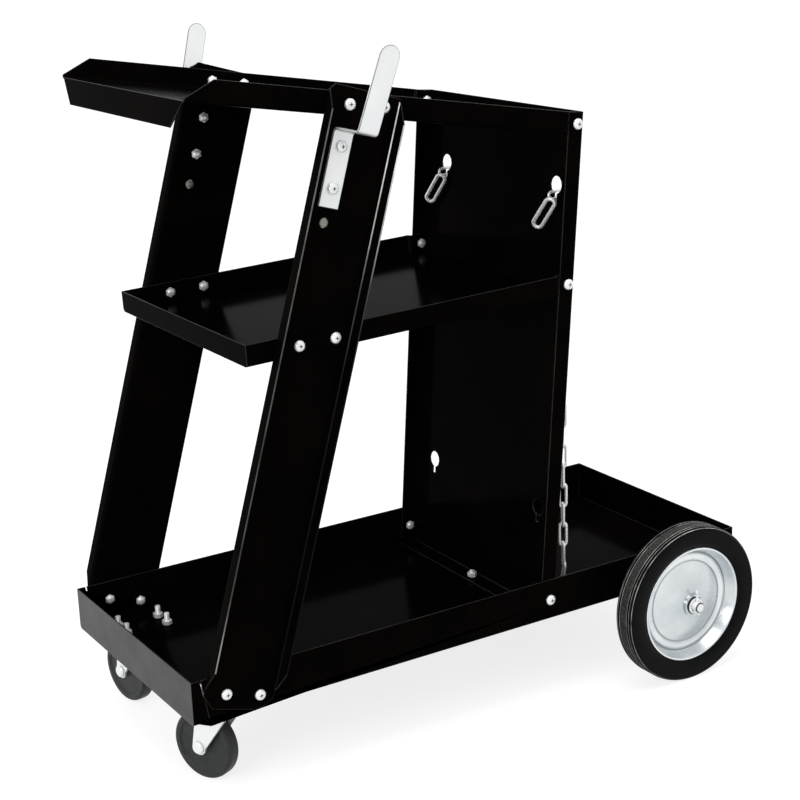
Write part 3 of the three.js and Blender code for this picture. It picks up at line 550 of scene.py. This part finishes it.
def turned(profile, steps, edge=0, closed=False):
    bm = bmesh.new()
    points = [bm.verts.new((radius * MM, along * MM, 0)) for radius, along in profile]
    pairs = list(zip(points, points[1:]))
    if closed:
        pairs.append((points[-1], points[0]))
    section = [bm.edges.new(pair) for pair in pairs]
    bmesh.ops.spin(
        bm, geom=points + section, cent=(0, 0, 0), axis=ALONG_Y, angle=math.tau,
        steps=steps, use_merge=True,
    )
    bmesh.ops.remove_doubles(bm, verts=bm.verts, dist=MERGE)
    bmesh.ops.recalc_face_normals(bm, faces=bm.faces)
    if edge:
        round_edges(bm, sharp_edges(bm, TURNED_SHARP), edge * MM)
    return bm


def mirrored(profile):
    """The same section on the other side of the middle, in the order that leads up to it."""
    return [(radius, -along) for radius, along in reversed(profile)]


print("turned edges over", round(math.degrees(TURNED_SHARP)), "degrees are rounded")

# %% [markdown]
# Pieces are drawn round the origin, then moved to their place in the frame. The move goes
# into the mesh, so the object itself stays at the origin. Shells that make one piece, such as
# a screw and its nut, are joined into one mesh.

# %% Placing helpers


def joined(shells):
    whole = bmesh.new()
    scrap = bpy.data.meshes.new("scrap")
    for shell in shells:
        shell.to_mesh(scrap)
        shell.free()
        whole.from_mesh(scrap)
    bpy.data.meshes.remove(scrap)
    return whole


def moved(bm, matrix):
    bmesh.ops.transform(bm, matrix=matrix, verts=bm.verts)
    return bm


def middle_of(node):
    lowest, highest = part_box(node)
    return (lowest + highest) / 2


def facing(sign):
    """A half turn about X, so that a piece drawn for the right side faces left."""
    return Matrix.Rotation(0 if sign > 0 else math.pi, 4, "X")


def turn_between(start, end):
    return Vector(start).rotation_difference(Vector(end)).to_matrix().to_4x4()


print("middle of the tray", [round(value, 3) for value in middle_of("base_tray")])

# %% [markdown]
# The cart is bolted together with pan-head machine screws. The head is a low dome with a cross recess for a
# driver, cut once with two booleans and used again for every screw. Each arm of the cross is a cutter of its own,
# because a boolean wants closed shapes that don't cross themselves. The faces of the recess are found by their
# depth and take a dark finish, painted shade.

# %% Screw head with a cross recess
HEAD_HEIGHT = 4.0
HEAD_DOME = [
    (0, 0), (5.3, 0), (5.75, 0.5), (5.7, 1.5), (5.2, 2.5), (4.2, 3.3), (2.6, 3.8),
    (0, HEAD_HEIGHT),
]
HEAD_STEPS = 40
RECESS_LENGTH = 4.0
RECESS_WIDTH = 0.9
RECESS_DEPTH = 2.0
RECESS_SPAN = (0.5 * MM, 3.5 * MM)


def recess_arm(angle):
    arm = bmesh.new()
    bmesh.ops.create_cube(arm, size=1.0)
    size = Matrix.Diagonal((RECESS_LENGTH * MM, RECESS_DEPTH * 2 * MM, RECESS_WIDTH * MM, 1))
    place = Matrix.Translation((0, HEAD_HEIGHT * MM, 0))
    return moved(arm, place @ Matrix.Rotation(angle, 4, "Y") @ size)


def recessed_head():
    made = []
    for bm in (turned(HEAD_DOME, HEAD_STEPS), recess_arm(0), recess_arm(math.pi / 2)):
        mesh = bpy.data.meshes.new("screw_head")
        bm.to_mesh(mesh)
        bm.free()
        made.append(bpy.data.objects.new("screw_head", mesh))
        scene.collection.objects.link(made[-1])
    head = made[0]
    for arm in made[1:]:
        cut = head.modifiers.new("recess", "BOOLEAN")
        cut.object = arm
        cut.operation = "DIFFERENCE"
        cut.solver = "EXACT"
    bpy.context.view_layer.update()
    depsgraph = bpy.context.evaluated_depsgraph_get()
    result = bpy.data.meshes.new_from_object(head.evaluated_get(depsgraph))
    for piece in made:
        bpy.data.objects.remove(piece)
    # The faces inside the cross recess get painted shade.
    for face in result.polygons:
        inside = math.hypot(face.center.x, face.center.z) < RECESS_LENGTH / 2 * MM + MERGE
        sunk = RECESS_SPAN[0] < face.center.y < RECESS_SPAN[1]
        face.material_index = 1 if inside and sunk else 0
    return result


screw_head = recessed_head()
painted_shade_faces = sum(face.material_index for face in screw_head.polygons)
print("screw head", len(screw_head.polygons), "faces,", painted_shade_faces, "of them in the recess")

# %% [markdown]
# Along the legs and shelves each screw ends in a domed cap nut, so that no thread is left to
# catch a sleeve. The caster bolts stand up through the tray instead: a plain hexagon nut, and
# a length of bare thread above it, drawn as a row of ridges in the turned section.

# %% Nuts
SHANK_RADIUS = 3.0
SHANK_STEPS = 24
NUT_SIDES = 6
NUT_FLATS = 5.0
NUT_HEIGHT = 5.0
NUT_CHAMFER = 0.45
CAP_FOOT = 2.6
CAP_DOME = [(0, 0), (4.6, 0), (4.5, -0.6), (4.0, -1.4), (3.0, -2.0), (1.6, -2.3), (0, -2.4)]
CAP_STEPS = 32
THREAD_PITCH = 1.0
THREAD_DEPTH = 0.45


def hexagon(foot, height):
    nut = bmesh.new()
    corner = NUT_FLATS / math.cos(math.pi / NUT_SIDES) * MM
    bmesh.ops.create_cone(
        nut, cap_ends=True, segments=NUT_SIDES, radius1=corner, radius2=corner, depth=height * MM,
    )
    round_edges(nut, sharp_edges(nut, SHARP_EDGE), NUT_CHAMFER * MM)
    upright = Matrix.Rotation(-math.pi / 2, 4, "X")
    return moved(nut, Matrix.Translation((0, (foot - height / 2) * MM, 0)) @ upright)


def cap_nut(foot):
    dome = turned(CAP_DOME, CAP_STEPS)
    moved(dome, Matrix.Translation((0, (foot - CAP_FOOT) * MM, 0)))
    return [hexagon(foot, CAP_FOOT), dome]


def plain_nut(foot, threads):
    end = foot - NUT_HEIGHT
    profile = [(0, foot), (SHANK_RADIUS, foot)]
    for number in range(threads):
        ridge = end - number * THREAD_PITCH
        profile += [(SHANK_RADIUS, ridge), (SHANK_RADIUS - THREAD_DEPTH, ridge - THREAD_PITCH / 2)]
    profile.append((0, end - threads * THREAD_PITCH))
    return [hexagon(foot, NUT_HEIGHT), turned(profile, SHANK_STEPS)]


print("nuts", NUT_FLATS * 2, "mm across their flats")

# %% [markdown]
# A screw is drawn along Y: the seat of its head is at zero, its head points to +Y and its nut
# is below. The frame's own bolts give the place and the grip. Those with a bare thread stand
# upright with the head below the sheet, and the others lie across the cart, head outwards.

# %% Screws
THREAD_ENDS = {"caster_bolt": 9, "panel_foot_bolt": 3}


def screw(grip, threads):
    head = bmesh.new()
    head.from_mesh(screw_head)
    shank = turned([(0, 0), (SHANK_RADIUS, 0), (SHANK_RADIUS, -grip), (0, -grip)], SHANK_STEPS)
    nut = plain_nut(-grip, threads) if threads else cap_nut(-grip)
    return joined([head, shank] + nut)


def screw_for(node):
    lowest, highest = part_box(node)
    middle = middle_of(node)
    threads = max(count if name in node else 0 for name, count in THREAD_ENDS.items())
    if threads:
        length = highest.z - lowest.z
        seat = Vector((middle.x, middle.y, lowest.z + HEAD_HEIGHT * MM))
        place = Matrix.Translation(seat) @ Matrix.Rotation(-math.pi / 2, 4, "X")
    else:
        length = highest.y - lowest.y
        sign = 1 if middle.y > 0 else -1
        outer = highest.y if sign > 0 else lowest.y
        seat = Vector((middle.x, outer - sign * HEAD_HEIGHT * MM, middle.z))
        place = Matrix.Translation(seat) @ facing(sign)
    grip = length / MM - HEAD_HEIGHT - NUT_HEIGHT
    return moved(screw(grip, threads), place)


screw_nodes = [node for node in frame["nodes"] if "_bolt" in node]
for node in screw_nodes:
    finish_piece(f"{node}_screw_and_nut", screw_for(node), node, "recess")
print("screws", len(screw_nodes))

# %% [markdown]
# Below each hook is a spare hole, closed with a dull push-in plug: a low button with a rim. It
# is trim that the frame leaves out, so it hides no node. It lies on the line through the two
# hook bolts, and its depth is that of the leg's web.

# %% Hole plugs
HOOK_PITCH = 40.0
PLUG_DROP = 73.5
LEG_SHEET = 1.5
PLUG_BUTTON = [(0, -2.2), (4.3, -2.2), (4.5, -1.7), (4.5, 0.0), (4.2, 0.5), (2.4, 0.8), (0, 0.9)]
PLUG_STEPS = 32


def hole_plug(side, sign):
    upper = middle_of(f"{side}_hook_upper_bolt")
    lower = middle_of(f"{side}_hook_lower_bolt")
    lowest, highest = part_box(f"{side}_leg")
    web_face = (lowest.y if sign > 0 else highest.y) + sign * LEG_SHEET * MM
    hole = upper.lerp(lower, PLUG_DROP / HOOK_PITCH)
    place = Matrix.Translation((hole.x, web_face, hole.z))
    return moved(turned(PLUG_BUTTON, PLUG_STEPS), place @ facing(sign))


for side, sign in SIDES.items():
    plug = smooth_object(f"{side}_hole_plug", hole_plug(side, sign), [EDGE_FINISHES["plug"]])
    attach(plug, "chassis")
print("hole plugs", len(SIDES))

# %% [markdown]
# The rear wheels are a pressed zinc rim with a hub tube and a moulded rubber tyre. The tyre's section is drawn
# from the middle rib over a groove, the shoulder and the flat sidewall down to the bore, each point by its drop
# below the tread. The middle rib has a fine knurl, made by raising every second point of a fine grid, and a
# speckled finish. The narrow lands beside the grooves take a light line, a painted highlight.

# %% Tyres
TYRE_STEPS = 240
TYRE_RADIUS = 91.0
TYRE_SIDE = 14.5
TYRE_BORE = 67.6
BORE_CHAMFER = (5, 3)
GROOVE_DEPTH = 2
TREAD_DROPS = [
    (0, 5.5), (0, 6.2), (GROOVE_DEPTH, 6.6), (GROOVE_DEPTH, 8.6), (0, 9.0), (0, 9.7), (0.3, 11.2),
    (1.1, 12.4), (1.6, 13.0), (2.8, 13.8), (5, TYRE_SIDE), (6.4, 14.0), (7, 14.0), (7.6, TYRE_SIDE),
]
RIB_HIGHLIGHTS = [(5.5, 6.2), (9.0, 9.7), (12.4, 13.0)]
KNURL_HEIGHT = 0.5
KNURL_HALF = 5.4
KNURL_ROWS = 8
KNURL_SLACK = 0.01
knurl_rows = [KNURL_HALF - 2 * KNURL_HALF * row / KNURL_ROWS for row in range(KNURL_ROWS + 1)]
tyre_section = [(TYRE_RADIUS - drop, across) for drop, across in TREAD_DROPS]
tyre_section.append((TYRE_BORE + BORE_CHAMFER[0], TYRE_SIDE))
tyre_section.append((TYRE_BORE, TYRE_SIDE - BORE_CHAMFER[1]))


def tread_place(point):
    """A point's distance from the wheel's middle plane and its radius, in millimetres."""
    return abs(point.y) / MM, math.hypot(point.x, point.z) / MM


def knurl_raised(point):
    step = math.atan2(point.z, point.x) / math.tau * TYRE_STEPS
    row = (KNURL_HALF - point.y / MM) / (2 * KNURL_HALF) * KNURL_ROWS
    return (round(step) + round(row)) % 2 == 1


def tyre():
    tread = [(TYRE_RADIUS - KNURL_HEIGHT, along) for along in reversed(knurl_rows)]
    bm = turned(mirrored(tyre_section) + tread + tyre_section, TYRE_STEPS, closed=True)
    for face in bm.faces:
        across, radius = tread_place(face.calc_center_median())
        if radius < TYRE_RADIUS - GROOVE_DEPTH:
            continue
        # The lands beside the grooves get a painted highlight line.
        if any(start < across < end for start, end in RIB_HIGHLIGHTS):
            face.material_index = 1
        elif across < KNURL_HALF:
            face.material_index = 2
    for vert in bm.verts:
        across, radius = tread_place(vert.co)
        on_rib = radius > TYRE_RADIUS - GROOVE_DEPTH / 2 and across < KNURL_HALF + KNURL_SLACK
        if on_rib and knurl_raised(vert.co):
            vert.co += Vector((vert.co.x, 0, vert.co.z)).normalized() * KNURL_HEIGHT * MM
    return bm


for side, sign in SIDES.items():
    node = f"{side}_rear_tyre"
    rubber = moved(tyre(), Matrix.Translation(middle_of(node)) @ facing(sign))
    made = finish_piece(f"{node}_moulded", rubber, node, "rib_highlight", "stipple")
    print(made.name, len(made.data.polygons), "faces")

# %% [markdown]
# The rim is one pressing: a rolled lip against the tyre, a cone down to a gutter, a raised ring that stiffens it,
# and a shallow dome up to the hub tube. The same section is followed again on the back at the sheet's thickness.
# The creases on both sides of the ring are painted darker as shade, and the hub's end round the washer is painted
# dark as the washer's shadow.

# %% Rims
RIM_STEPS = 128
RIM_EDGE = 0.5
RIM_BARREL = 67.0
RIM_WALL = 3.0
RIM_LIP = 11.5
LIP_ROLL = 1.1
LIP_INSETS = (0.9, 0.6)
HUB_RADIUS = 13.0
HUB_BORE = 6.3
HUB_OUTER = 15.0
HUB_SHADE_RADIUS = 10.6
RIM_DOME = [
    (HUB_RADIUS, 10.5), (22, 8.0), (32, 4.8), (41, 1.6), (47, -0.4), (48, -0.5), (49, 0.2),
    (51, 1.5), (53.5, 2), (56, 1.5), (57, 0.5), (58, -0.5),
]
CREASES = [(47, 49), (57, 58.6)]
OUTWARD = 0.2


def rim_section(hub_inner):
    inside = RIM_BARREL - RIM_WALL
    hub = [(HUB_BORE, hub_inner)]
    hub += [(radius, HUB_OUTER) for radius in (HUB_BORE, HUB_SHADE_RADIUS, HUB_RADIUS)]
    lip = [
        (inside, RIM_LIP), (inside + LIP_INSETS[0], RIM_LIP + LIP_ROLL),
        (RIM_BARREL - LIP_INSETS[1], RIM_LIP + LIP_ROLL), (RIM_BARREL, RIM_LIP),
    ]
    barrel = [(RIM_BARREL, -RIM_LIP), (inside, -RIM_LIP), (inside, RIM_DOME[-1][1] - RIM_WALL)]
    back = [(radius, along - RIM_WALL) for radius, along in reversed(RIM_DOME)]
    return hub + RIM_DOME + lip + barrel + back + [(HUB_RADIUS, hub_inner)]


def rim(hub_inner):
    bm = turned(rim_section(hub_inner), RIM_STEPS, RIM_EDGE, closed=True)
    for face in bm.faces:
        if face.normal.y <= OUTWARD:
            continue
        centre = face.calc_center_median()
        radius = math.hypot(centre.x, centre.z) / MM
        # Outward faces in the creases get painted shade, and those on the hub's end round the washer a painted
        # shadow.
        if any(start < radius < end for start, end in CREASES):
            face.material_index = 1
        elif radius < HUB_SHADE_RADIUS:
            face.material_index = 2
    return bm


for side, sign in SIDES.items():
    node = f"{side}_rear_rim"
    lowest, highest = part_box(node)
    wheel_middle = middle_of(f"{side}_rear_tyre")
    hub_depth = wheel_middle.y - lowest.y if sign > 0 else highest.y - wheel_middle.y
    pressing = moved(rim(-hub_depth / MM), Matrix.Translation(wheel_middle) @ facing(sign))
    made = finish_piece(f"{node}_pressing", pressing, node, "crease", "recess")
    print(made.name, len(made.data.polygons), "faces, hub depth", round(hub_depth / MM, 1))

# %% [markdown]
# The axle is one bright rod across the cart with a swaged collar inside each wheel. The rod is the same at both
# ends, so half of its section is drawn and mirrored. The chamfer at each end is painted dark as shade, which sets
# the bright end off.

# %% Axle
AXLE_RADIUS = 6.0
AXLE_STEPS = 48
AXLE_EDGE = 0.25
AXLE_CHAMFER = 1.2
COLLAR_RADIUS = 9.0
COLLAR_START = 146.9
COLLAR_END = 148.6
FLAT_END = 0.9
axle_low, axle_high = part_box("rear_axle")


def axle():
    end = (axle_high.y - axle_low.y) / 2 / MM
    half = [
        (AXLE_RADIUS, COLLAR_START), (COLLAR_RADIUS, COLLAR_START), (COLLAR_RADIUS, COLLAR_END),
        (AXLE_RADIUS, COLLAR_END), (AXLE_RADIUS, end - AXLE_CHAMFER),
        (AXLE_RADIUS - AXLE_CHAMFER, end), (0, end),
    ]
    rod = turned(mirrored(half) + half, AXLE_STEPS, AXLE_EDGE)
    # The chamfer faces get painted shade that outlines the bright end.
    for face in rod.faces:
        in_chamfer = abs(face.calc_center_median().y) > (end - AXLE_CHAMFER) * MM
        face.material_index = 1 if in_chamfer and abs(face.normal.y) < FLAT_END else 0
    return rod


axle_place = Matrix.Translation((axle_low + axle_high) / 2)
finish_piece("rear_axle_rod", moved(axle(), axle_place), "rear_axle", "recess")
print("axle from", round(axle_low.y, 3), "to", round(axle_high.y, 3))

# %% [markdown]
# A washer and a split pin keep each wheel on the axle. The washer is a flat ring, bright on its outer face, with
# painted shade on its rim and on the face against the hub.

# %% Washers
WASHER_BORE = 6.4
WASHER_STEPS = 64
WASHER_EDGE = 0.3
WASHER_FACE = 0.3

for side, sign in SIDES.items():
    node = f"{side}_axle_washer"
    lowest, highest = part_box(node)
    thick = (highest.y - lowest.y) / MM
    outer = (highest.z - lowest.z) / 2 / MM
    section = [(WASHER_BORE, 0), (outer, 0), (outer, thick), (WASHER_BORE, thick)]
    ring = turned(section, WASHER_STEPS, WASHER_EDGE, closed=True)
    # The rim and the face against the hub get painted shade.
    for face in ring.faces:
        face.material_index = 1 if face.normal.y < WASHER_FACE else 0
    inner = lowest.y if sign > 0 else highest.y
    middle = middle_of(node)
    place = Matrix.Translation((middle.x, inner, middle.z)) @ facing(sign)
    finish_piece(f"{node}_ring", moved(ring, place), node, "recess")
    print(node, round(outer * 2, 1), "mm across")

# %% [markdown]
# Split pins and chain links are bent wire. A curve with a bevel would do, but the piece has to
# be a mesh with its place in it, so the wire is swept instead: a small circle is extruded along
# straights and spun round bends, as a wire former bends wire.

# %% Wire helper
WIRE_SIDES = 12
UP = Vector((0, 0, 1))


def edges_in(items):
    return [item for item in items if isinstance(item, bmesh.types.BMEdge)]


class Wire:
    """A circle that leaves a tube behind it as it is run straight or round a bend."""

    def __init__(self, radius, start, direction):
        self.bm = bmesh.new()
        bmesh.ops.create_circle(self.bm, cap_ends=False, radius=radius * MM, segments=WIRE_SIDES)
        moved(self.bm, Matrix.Translation(Vector(start) * MM) @ turn_between(UP, direction))
        self.first = list(self.bm.edges)
        self.ring = self.first

    def straight(self, way):
        made = bmesh.ops.extrude_edge_only(self.bm, edges=self.ring)["geom"]
        corners = [item for item in made if isinstance(item, bmesh.types.BMVert)]
        bmesh.ops.translate(self.bm, vec=Vector(way) * MM, verts=corners)
        self.ring = [edge for edge in edges_in(made) if set(edge.verts) <= set(corners)]

    def bend(self, centre, axis, angle, steps):
        points = list({vert for edge in self.ring for vert in edge.verts})
        made = bmesh.ops.spin(
            self.bm, geom=points + self.ring, cent=Vector(centre) * MM, axis=axis, angle=angle,
            steps=steps,
        )
        self.ring = edges_in(made["geom_last"])

    def with_ends(self):
        for ring in (self.first, self.ring):
            bmesh.ops.edgenet_fill(self.bm, edges=ring)
        return self.done()

    def done(self):
        bmesh.ops.remove_doubles(self.bm, verts=self.bm.verts, dist=MERGE)
        bmesh.ops.recalc_face_normals(self.bm, faces=self.bm.faces)
        return self.bm


print("wire has", WIRE_SIDES, "sides")

# %% [markdown]
# A split pin is half-round wire folded on itself: two legs side by side, and an eye above that
# keeps it from falling through. One leg is bent out below the axle to lock it.

# %% Split pins
PIN_WIRE = 1.1
PIN_GAP = 1.15
PIN_EYE = 3.2
PIN_EYE_TURN = math.tau - 0.4
PIN_EYE_STEPS = 20
PIN_FLARE = 5.0
PIN_FLARE_TURN = math.radians(35)
PIN_FLARE_STEPS = 4
PIN_BEND_AXIS = (-1, 0, 0)


def split_pin(top, foot):
    length = top - foot
    aside = PIN_GAP / 2
    plain_leg = Wire(PIN_WIRE, (0, -aside, top), -UP)
    plain_leg.straight((0, 0, -length))
    bent_leg = Wire(PIN_WIRE, (0, aside, top), -UP)
    bent_leg.straight((0, 0, -(length - PIN_FLARE)))
    flare_centre = (0, aside + PIN_FLARE, foot + PIN_FLARE)
    bent_leg.bend(flare_centre, PIN_BEND_AXIS, PIN_FLARE_TURN, PIN_FLARE_STEPS)
    eye = Wire(PIN_WIRE, (0, -aside, top), UP)
    eye.bend((0, 0, top + PIN_EYE), PIN_BEND_AXIS, PIN_EYE_TURN, PIN_EYE_STEPS)
    return joined([wire.with_ends() for wire in (plain_leg, bent_leg, eye)])


for side, sign in SIDES.items():
    node = f"{side}_cotter_pin"
    lowest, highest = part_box(node)
    eye_room = 2 * PIN_EYE + PIN_WIRE
    half_height = (highest.z - lowest.z) / 2 / MM
    pin = split_pin(half_height - eye_room, -half_height + PIN_WIRE)
    place = Matrix.Translation(middle_of(node)) @ facing(sign)
    finish_piece(f"{node}_wire", moved(pin, place), node)
print("split pins", len(SIDES))

# %% [markdown]
# A caster is a bolted top plate with a ball race, a fork that turns under it, and a rubber
# wheel on an axle bolt. The plate and race are made anew so that the race is truly round. The
# plate is a stretched cube whose four upright edges get the corner radius first.

# %% Caster plates and races
PLATE_LENGTH = 72.0
PLATE_WIDTH = 48.0
PLATE_THICK = 3.0
PLATE_CORNER = 5.0
PLATE_CORNER_STEPS = 5
PLATE_EDGE = 0.4
RACE_STEPS = 64
RACE_EDGE = 0.5
RACE_SECTION = [
    (0, -8.5), (9, -8.5), (9, -5.5), (5, -5.5), (5, 0), (16, 0), (19.2, 1.4), (20, 4), (20, 6), (0, 6),
]


def caster_plate(node):
    lowest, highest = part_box(node)
    middle = middle_of(node)
    plate = bmesh.new()
    bmesh.ops.create_cube(plate, size=MM)
    moved(plate, Matrix.Diagonal((PLATE_LENGTH, PLATE_WIDTH, PLATE_THICK, 1)))
    uprights = [edge for edge in plate.edges if abs(edge.verts[0].co.z - edge.verts[1].co.z) > MM]
    round_edges(plate, uprights, PLATE_CORNER * MM, PLATE_CORNER_STEPS)
    round_edges(plate, sharp_edges(plate, SHARP_EDGE), PLATE_EDGE * MM)
    moved(plate, Matrix.Translation((middle.x, middle.y, highest.z - PLATE_THICK * MM / 2)))
    race = turned(RACE_SECTION, RACE_STEPS, RACE_EDGE)
    moved(race, Matrix.Rotation(math.pi / 2, 4, "X"))
    race_foot = min(vert.co.z for vert in race.verts)
    moved(race, Matrix.Translation((middle.x, middle.y, lowest.z - race_foot)))
    return joined([plate, race])


for side in SIDES:
    node = f"{side}_caster_plate"
    finish_piece(f"{node}_and_race", caster_plate(node), node)
print("caster plates", len(SIDES))

# %% [markdown]
# The caster wheel is one rubber moulding with a rounded tread, a flat hub face and a short hub.
# The axle bolt has a round head at both ends. The frame's joint gives the middle and the axis
# that both turn on, so they are placed by it and not by a box.

# %% Caster wheels and axle bolts
CASTER_SECTION = [
    (37.5, 0), (37.5, 4), (37.2, 5.6), (36.4, 7), (35.4, 7.8), (34.5, 8), (31, 8), (30.2, 7.6),
    (28.8, 6.2), (28.2, 6), (11, 6), (9.2, 6.4), (7.2, 9), (4.3, 9),
]
CASTER_STEPS = 96
CASTER_EDGE = 0.4
BOLT_SECTION = [(4, 0), (4, 13), (7, 13), (7, 14.7), (5.6, 16), (0, 16)]
BOLT_STEPS = 48
BOLT_EDGE = 0.3
joint_of_body = {joint["child"]: joint for joint in frame["joints"]}


def caster_wheel():
    section = mirrored(CASTER_SECTION) + CASTER_SECTION[1:]
    return turned(section, CASTER_STEPS, CASTER_EDGE, closed=True)


def caster_axle():
    return turned(mirrored(BOLT_SECTION) + BOLT_SECTION, BOLT_STEPS, BOLT_EDGE)


for side in SIDES:
    joint = joint_of_body[f"{side}_caster_roller"]
    place = Matrix.Translation(Vector(joint["pos_m"])) @ turn_between(ALONG_Y, joint["axis"])
    finish_piece(f"{side}_caster_wheel_moulded", moved(caster_wheel(), place), f"{side}_caster_wheel")
    finish_piece(f"{side}_caster_axle_bolt", moved(caster_axle(), place), f"{side}_caster_axle")
print("caster wheels", len(SIDES))

# %% [markdown]
# The chain hangs plumb behind the panel on both sides and lies on the tray between. Its route
# is two straight drops and two quarter turns, read from the box of the frame's chain. Both
# ends hang on a cross link that lies low in its slot, which sets the route's top.

# %% Chain route
LINK_WIDTH = 11.0
LINK_WIRE = 3.2
CHAIN_BEND = 26.0
CORNER_STEPS = 12
CROSS_WIDTH = 11.0
CROSS_SEAT = -3.6
cross_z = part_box("left_chain_end_link")[1].z + (CROSS_WIDTH / 2 + CROSS_SEAT) * MM


def chain_route():
    lowest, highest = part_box("cylinder_chain")
    x = middle_of("cylinder_chain").x
    tube = (highest.x - lowest.x) / 2
    left, right = lowest.y + tube, highest.y - tube
    bend = CHAIN_BEND * MM
    bend_z = lowest.z + LINK_WIDTH / 2 * MM + bend
    top_z = cross_z + LINK_WIRE / 2 * MM
    quarter = [math.pi / 2 * step / CORNER_STEPS for step in range(CORNER_STEPS + 1)]
    points = [Vector((x, left, top_z))]
    for angle in quarter:
        across = left + bend - bend * math.cos(angle)
        points.append(Vector((x, across, bend_z - bend * math.sin(angle))))
    for angle in quarter:
        across = right - bend + bend * math.sin(angle)
        points.append(Vector((x, across, bend_z - bend * math.cos(angle))))
    points.append(Vector((x, right, top_z)))
    return points


def along_route(points, distance):
    for start, end in zip(points, points[1:]):
        leg = (end - start).length
        if distance <= leg:
            return start.lerp(end, distance / leg), (end - start).normalized()
        distance -= leg
    return points[-1], (points[-1] - points[-2]).normalized()


route = chain_route()
route_length = sum((end - start).length for start, end in zip(route, route[1:]))
print("chain route", round(route_length, 3), "m")

# %% [markdown]
# The chain is welded links of round wire. One link is swept, then made again and again along
# the route at an even pitch, and every second link has a quarter turn about the route. The
# number of links is odd, so that the first and the last have the same turn.

# %% Chain links
LINK_LENGTH = 30.0
LINK_ROLL = math.radians(115)
LINK_BEND_STEPS = 10
LINK_BEND_AXIS = (0, -1, 0)
TAUT_PITCH = LINK_LENGTH - 2 * LINK_WIRE


def chain_link(length, width, wire):
    half_width = (width - wire) / 2
    half_straight = (length - width) / 2
    loop = Wire(wire / 2, (half_width, 0, -half_straight), UP)
    for way in (1, -1):
        loop.straight((0, 0, way * 2 * half_straight))
        loop.bend((0, 0, way * half_straight), LINK_BEND_AXIS, math.pi, LINK_BEND_STEPS)
    return loop.done()


link_pairs = math.ceil((route_length / MM - LINK_LENGTH) / TAUT_PITCH / 2)
link_count = link_pairs * 2 + 1
pitch = (route_length - LINK_LENGTH * MM) / (link_count - 1)
links = []
for number in range(link_count):
    centre, direction = along_route(route, LINK_LENGTH / 2 * MM + number * pitch)
    roll = Matrix.Rotation(LINK_ROLL + number % 2 * math.pi / 2, 4, "Z")
    place = Matrix.Translation(centre) @ turn_between(UP, direction) @ roll
    links.append(moved(chain_link(LINK_LENGTH, LINK_WIDTH, LINK_WIRE), place))
finish_piece("cylinder_chain_links", joined(links), "cylinder_chain")
print("chain links", link_count, "at a pitch of", round(pitch / MM, 2), "mm")

# %% [markdown]
# On each side a cross link lies through the upper slot. Behind the panel it carries the chain,
# and in front a longer end link hangs from it, slanted along the panel, leaning out at its foot
# and twisted on its own length. The end link turns about the middle of its upper arc, so it
# hangs by the top of that arc at any slant.

# %% End links
END_LENGTH = 43.0
END_WIDTH = 14.5
END_WIRE = 4.4
END_ARC = (END_WIDTH - END_WIRE) / 2
END_TWIST = math.radians(45)
END_SLANT = math.radians(35)
END_LEAN = math.radians(10)
END_REACH = 2.5
END_STAND_OFF = 1.2
END_DROP = 3.0
CHAIN_GRIP = 1.5 * LINK_WIRE


def end_link(node):
    lowest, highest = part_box(node)
    front = lowest.x - END_REACH * MM
    rear = route[0].x + CHAIN_GRIP * MM
    keyhole_y = math.copysign(route[0].y, lowest.y + highest.y)
    cross = chain_link((rear - front) / MM, CROSS_WIDTH, LINK_WIRE)
    moved(cross, Matrix.Rotation(math.pi / 2, 4, "Y"))
    moved(cross, Matrix.Translation(((front + rear) / 2, keyhole_y, cross_z)))
    loop = chain_link(END_LENGTH, END_WIDTH, END_WIRE)
    moved(loop, Matrix.Rotation(math.pi / 2 + END_TWIST, 4, "Z"))
    moved(loop, Matrix.Translation((0, 0, -(END_LENGTH - END_WIDTH) / 2 * MM)))
    moved(loop, Matrix.Rotation(END_LEAN, 4, "Y") @ Matrix.Rotation(END_SLANT, 4, "X"))
    eye_x = front + (END_WIRE - END_STAND_OFF) * MM
    eye_z = cross_z - (END_DROP + END_ARC) * MM
    moved(loop, Matrix.Translation((eye_x, keyhole_y, eye_z)))
    return joined([loop, cross])


for side in SIDES:
    node = f"{side}_chain_end_link"
    made = finish_piece(f"{node}_wire", end_link(node), node)
    print(made.name, len(made.data.polygons), "faces")
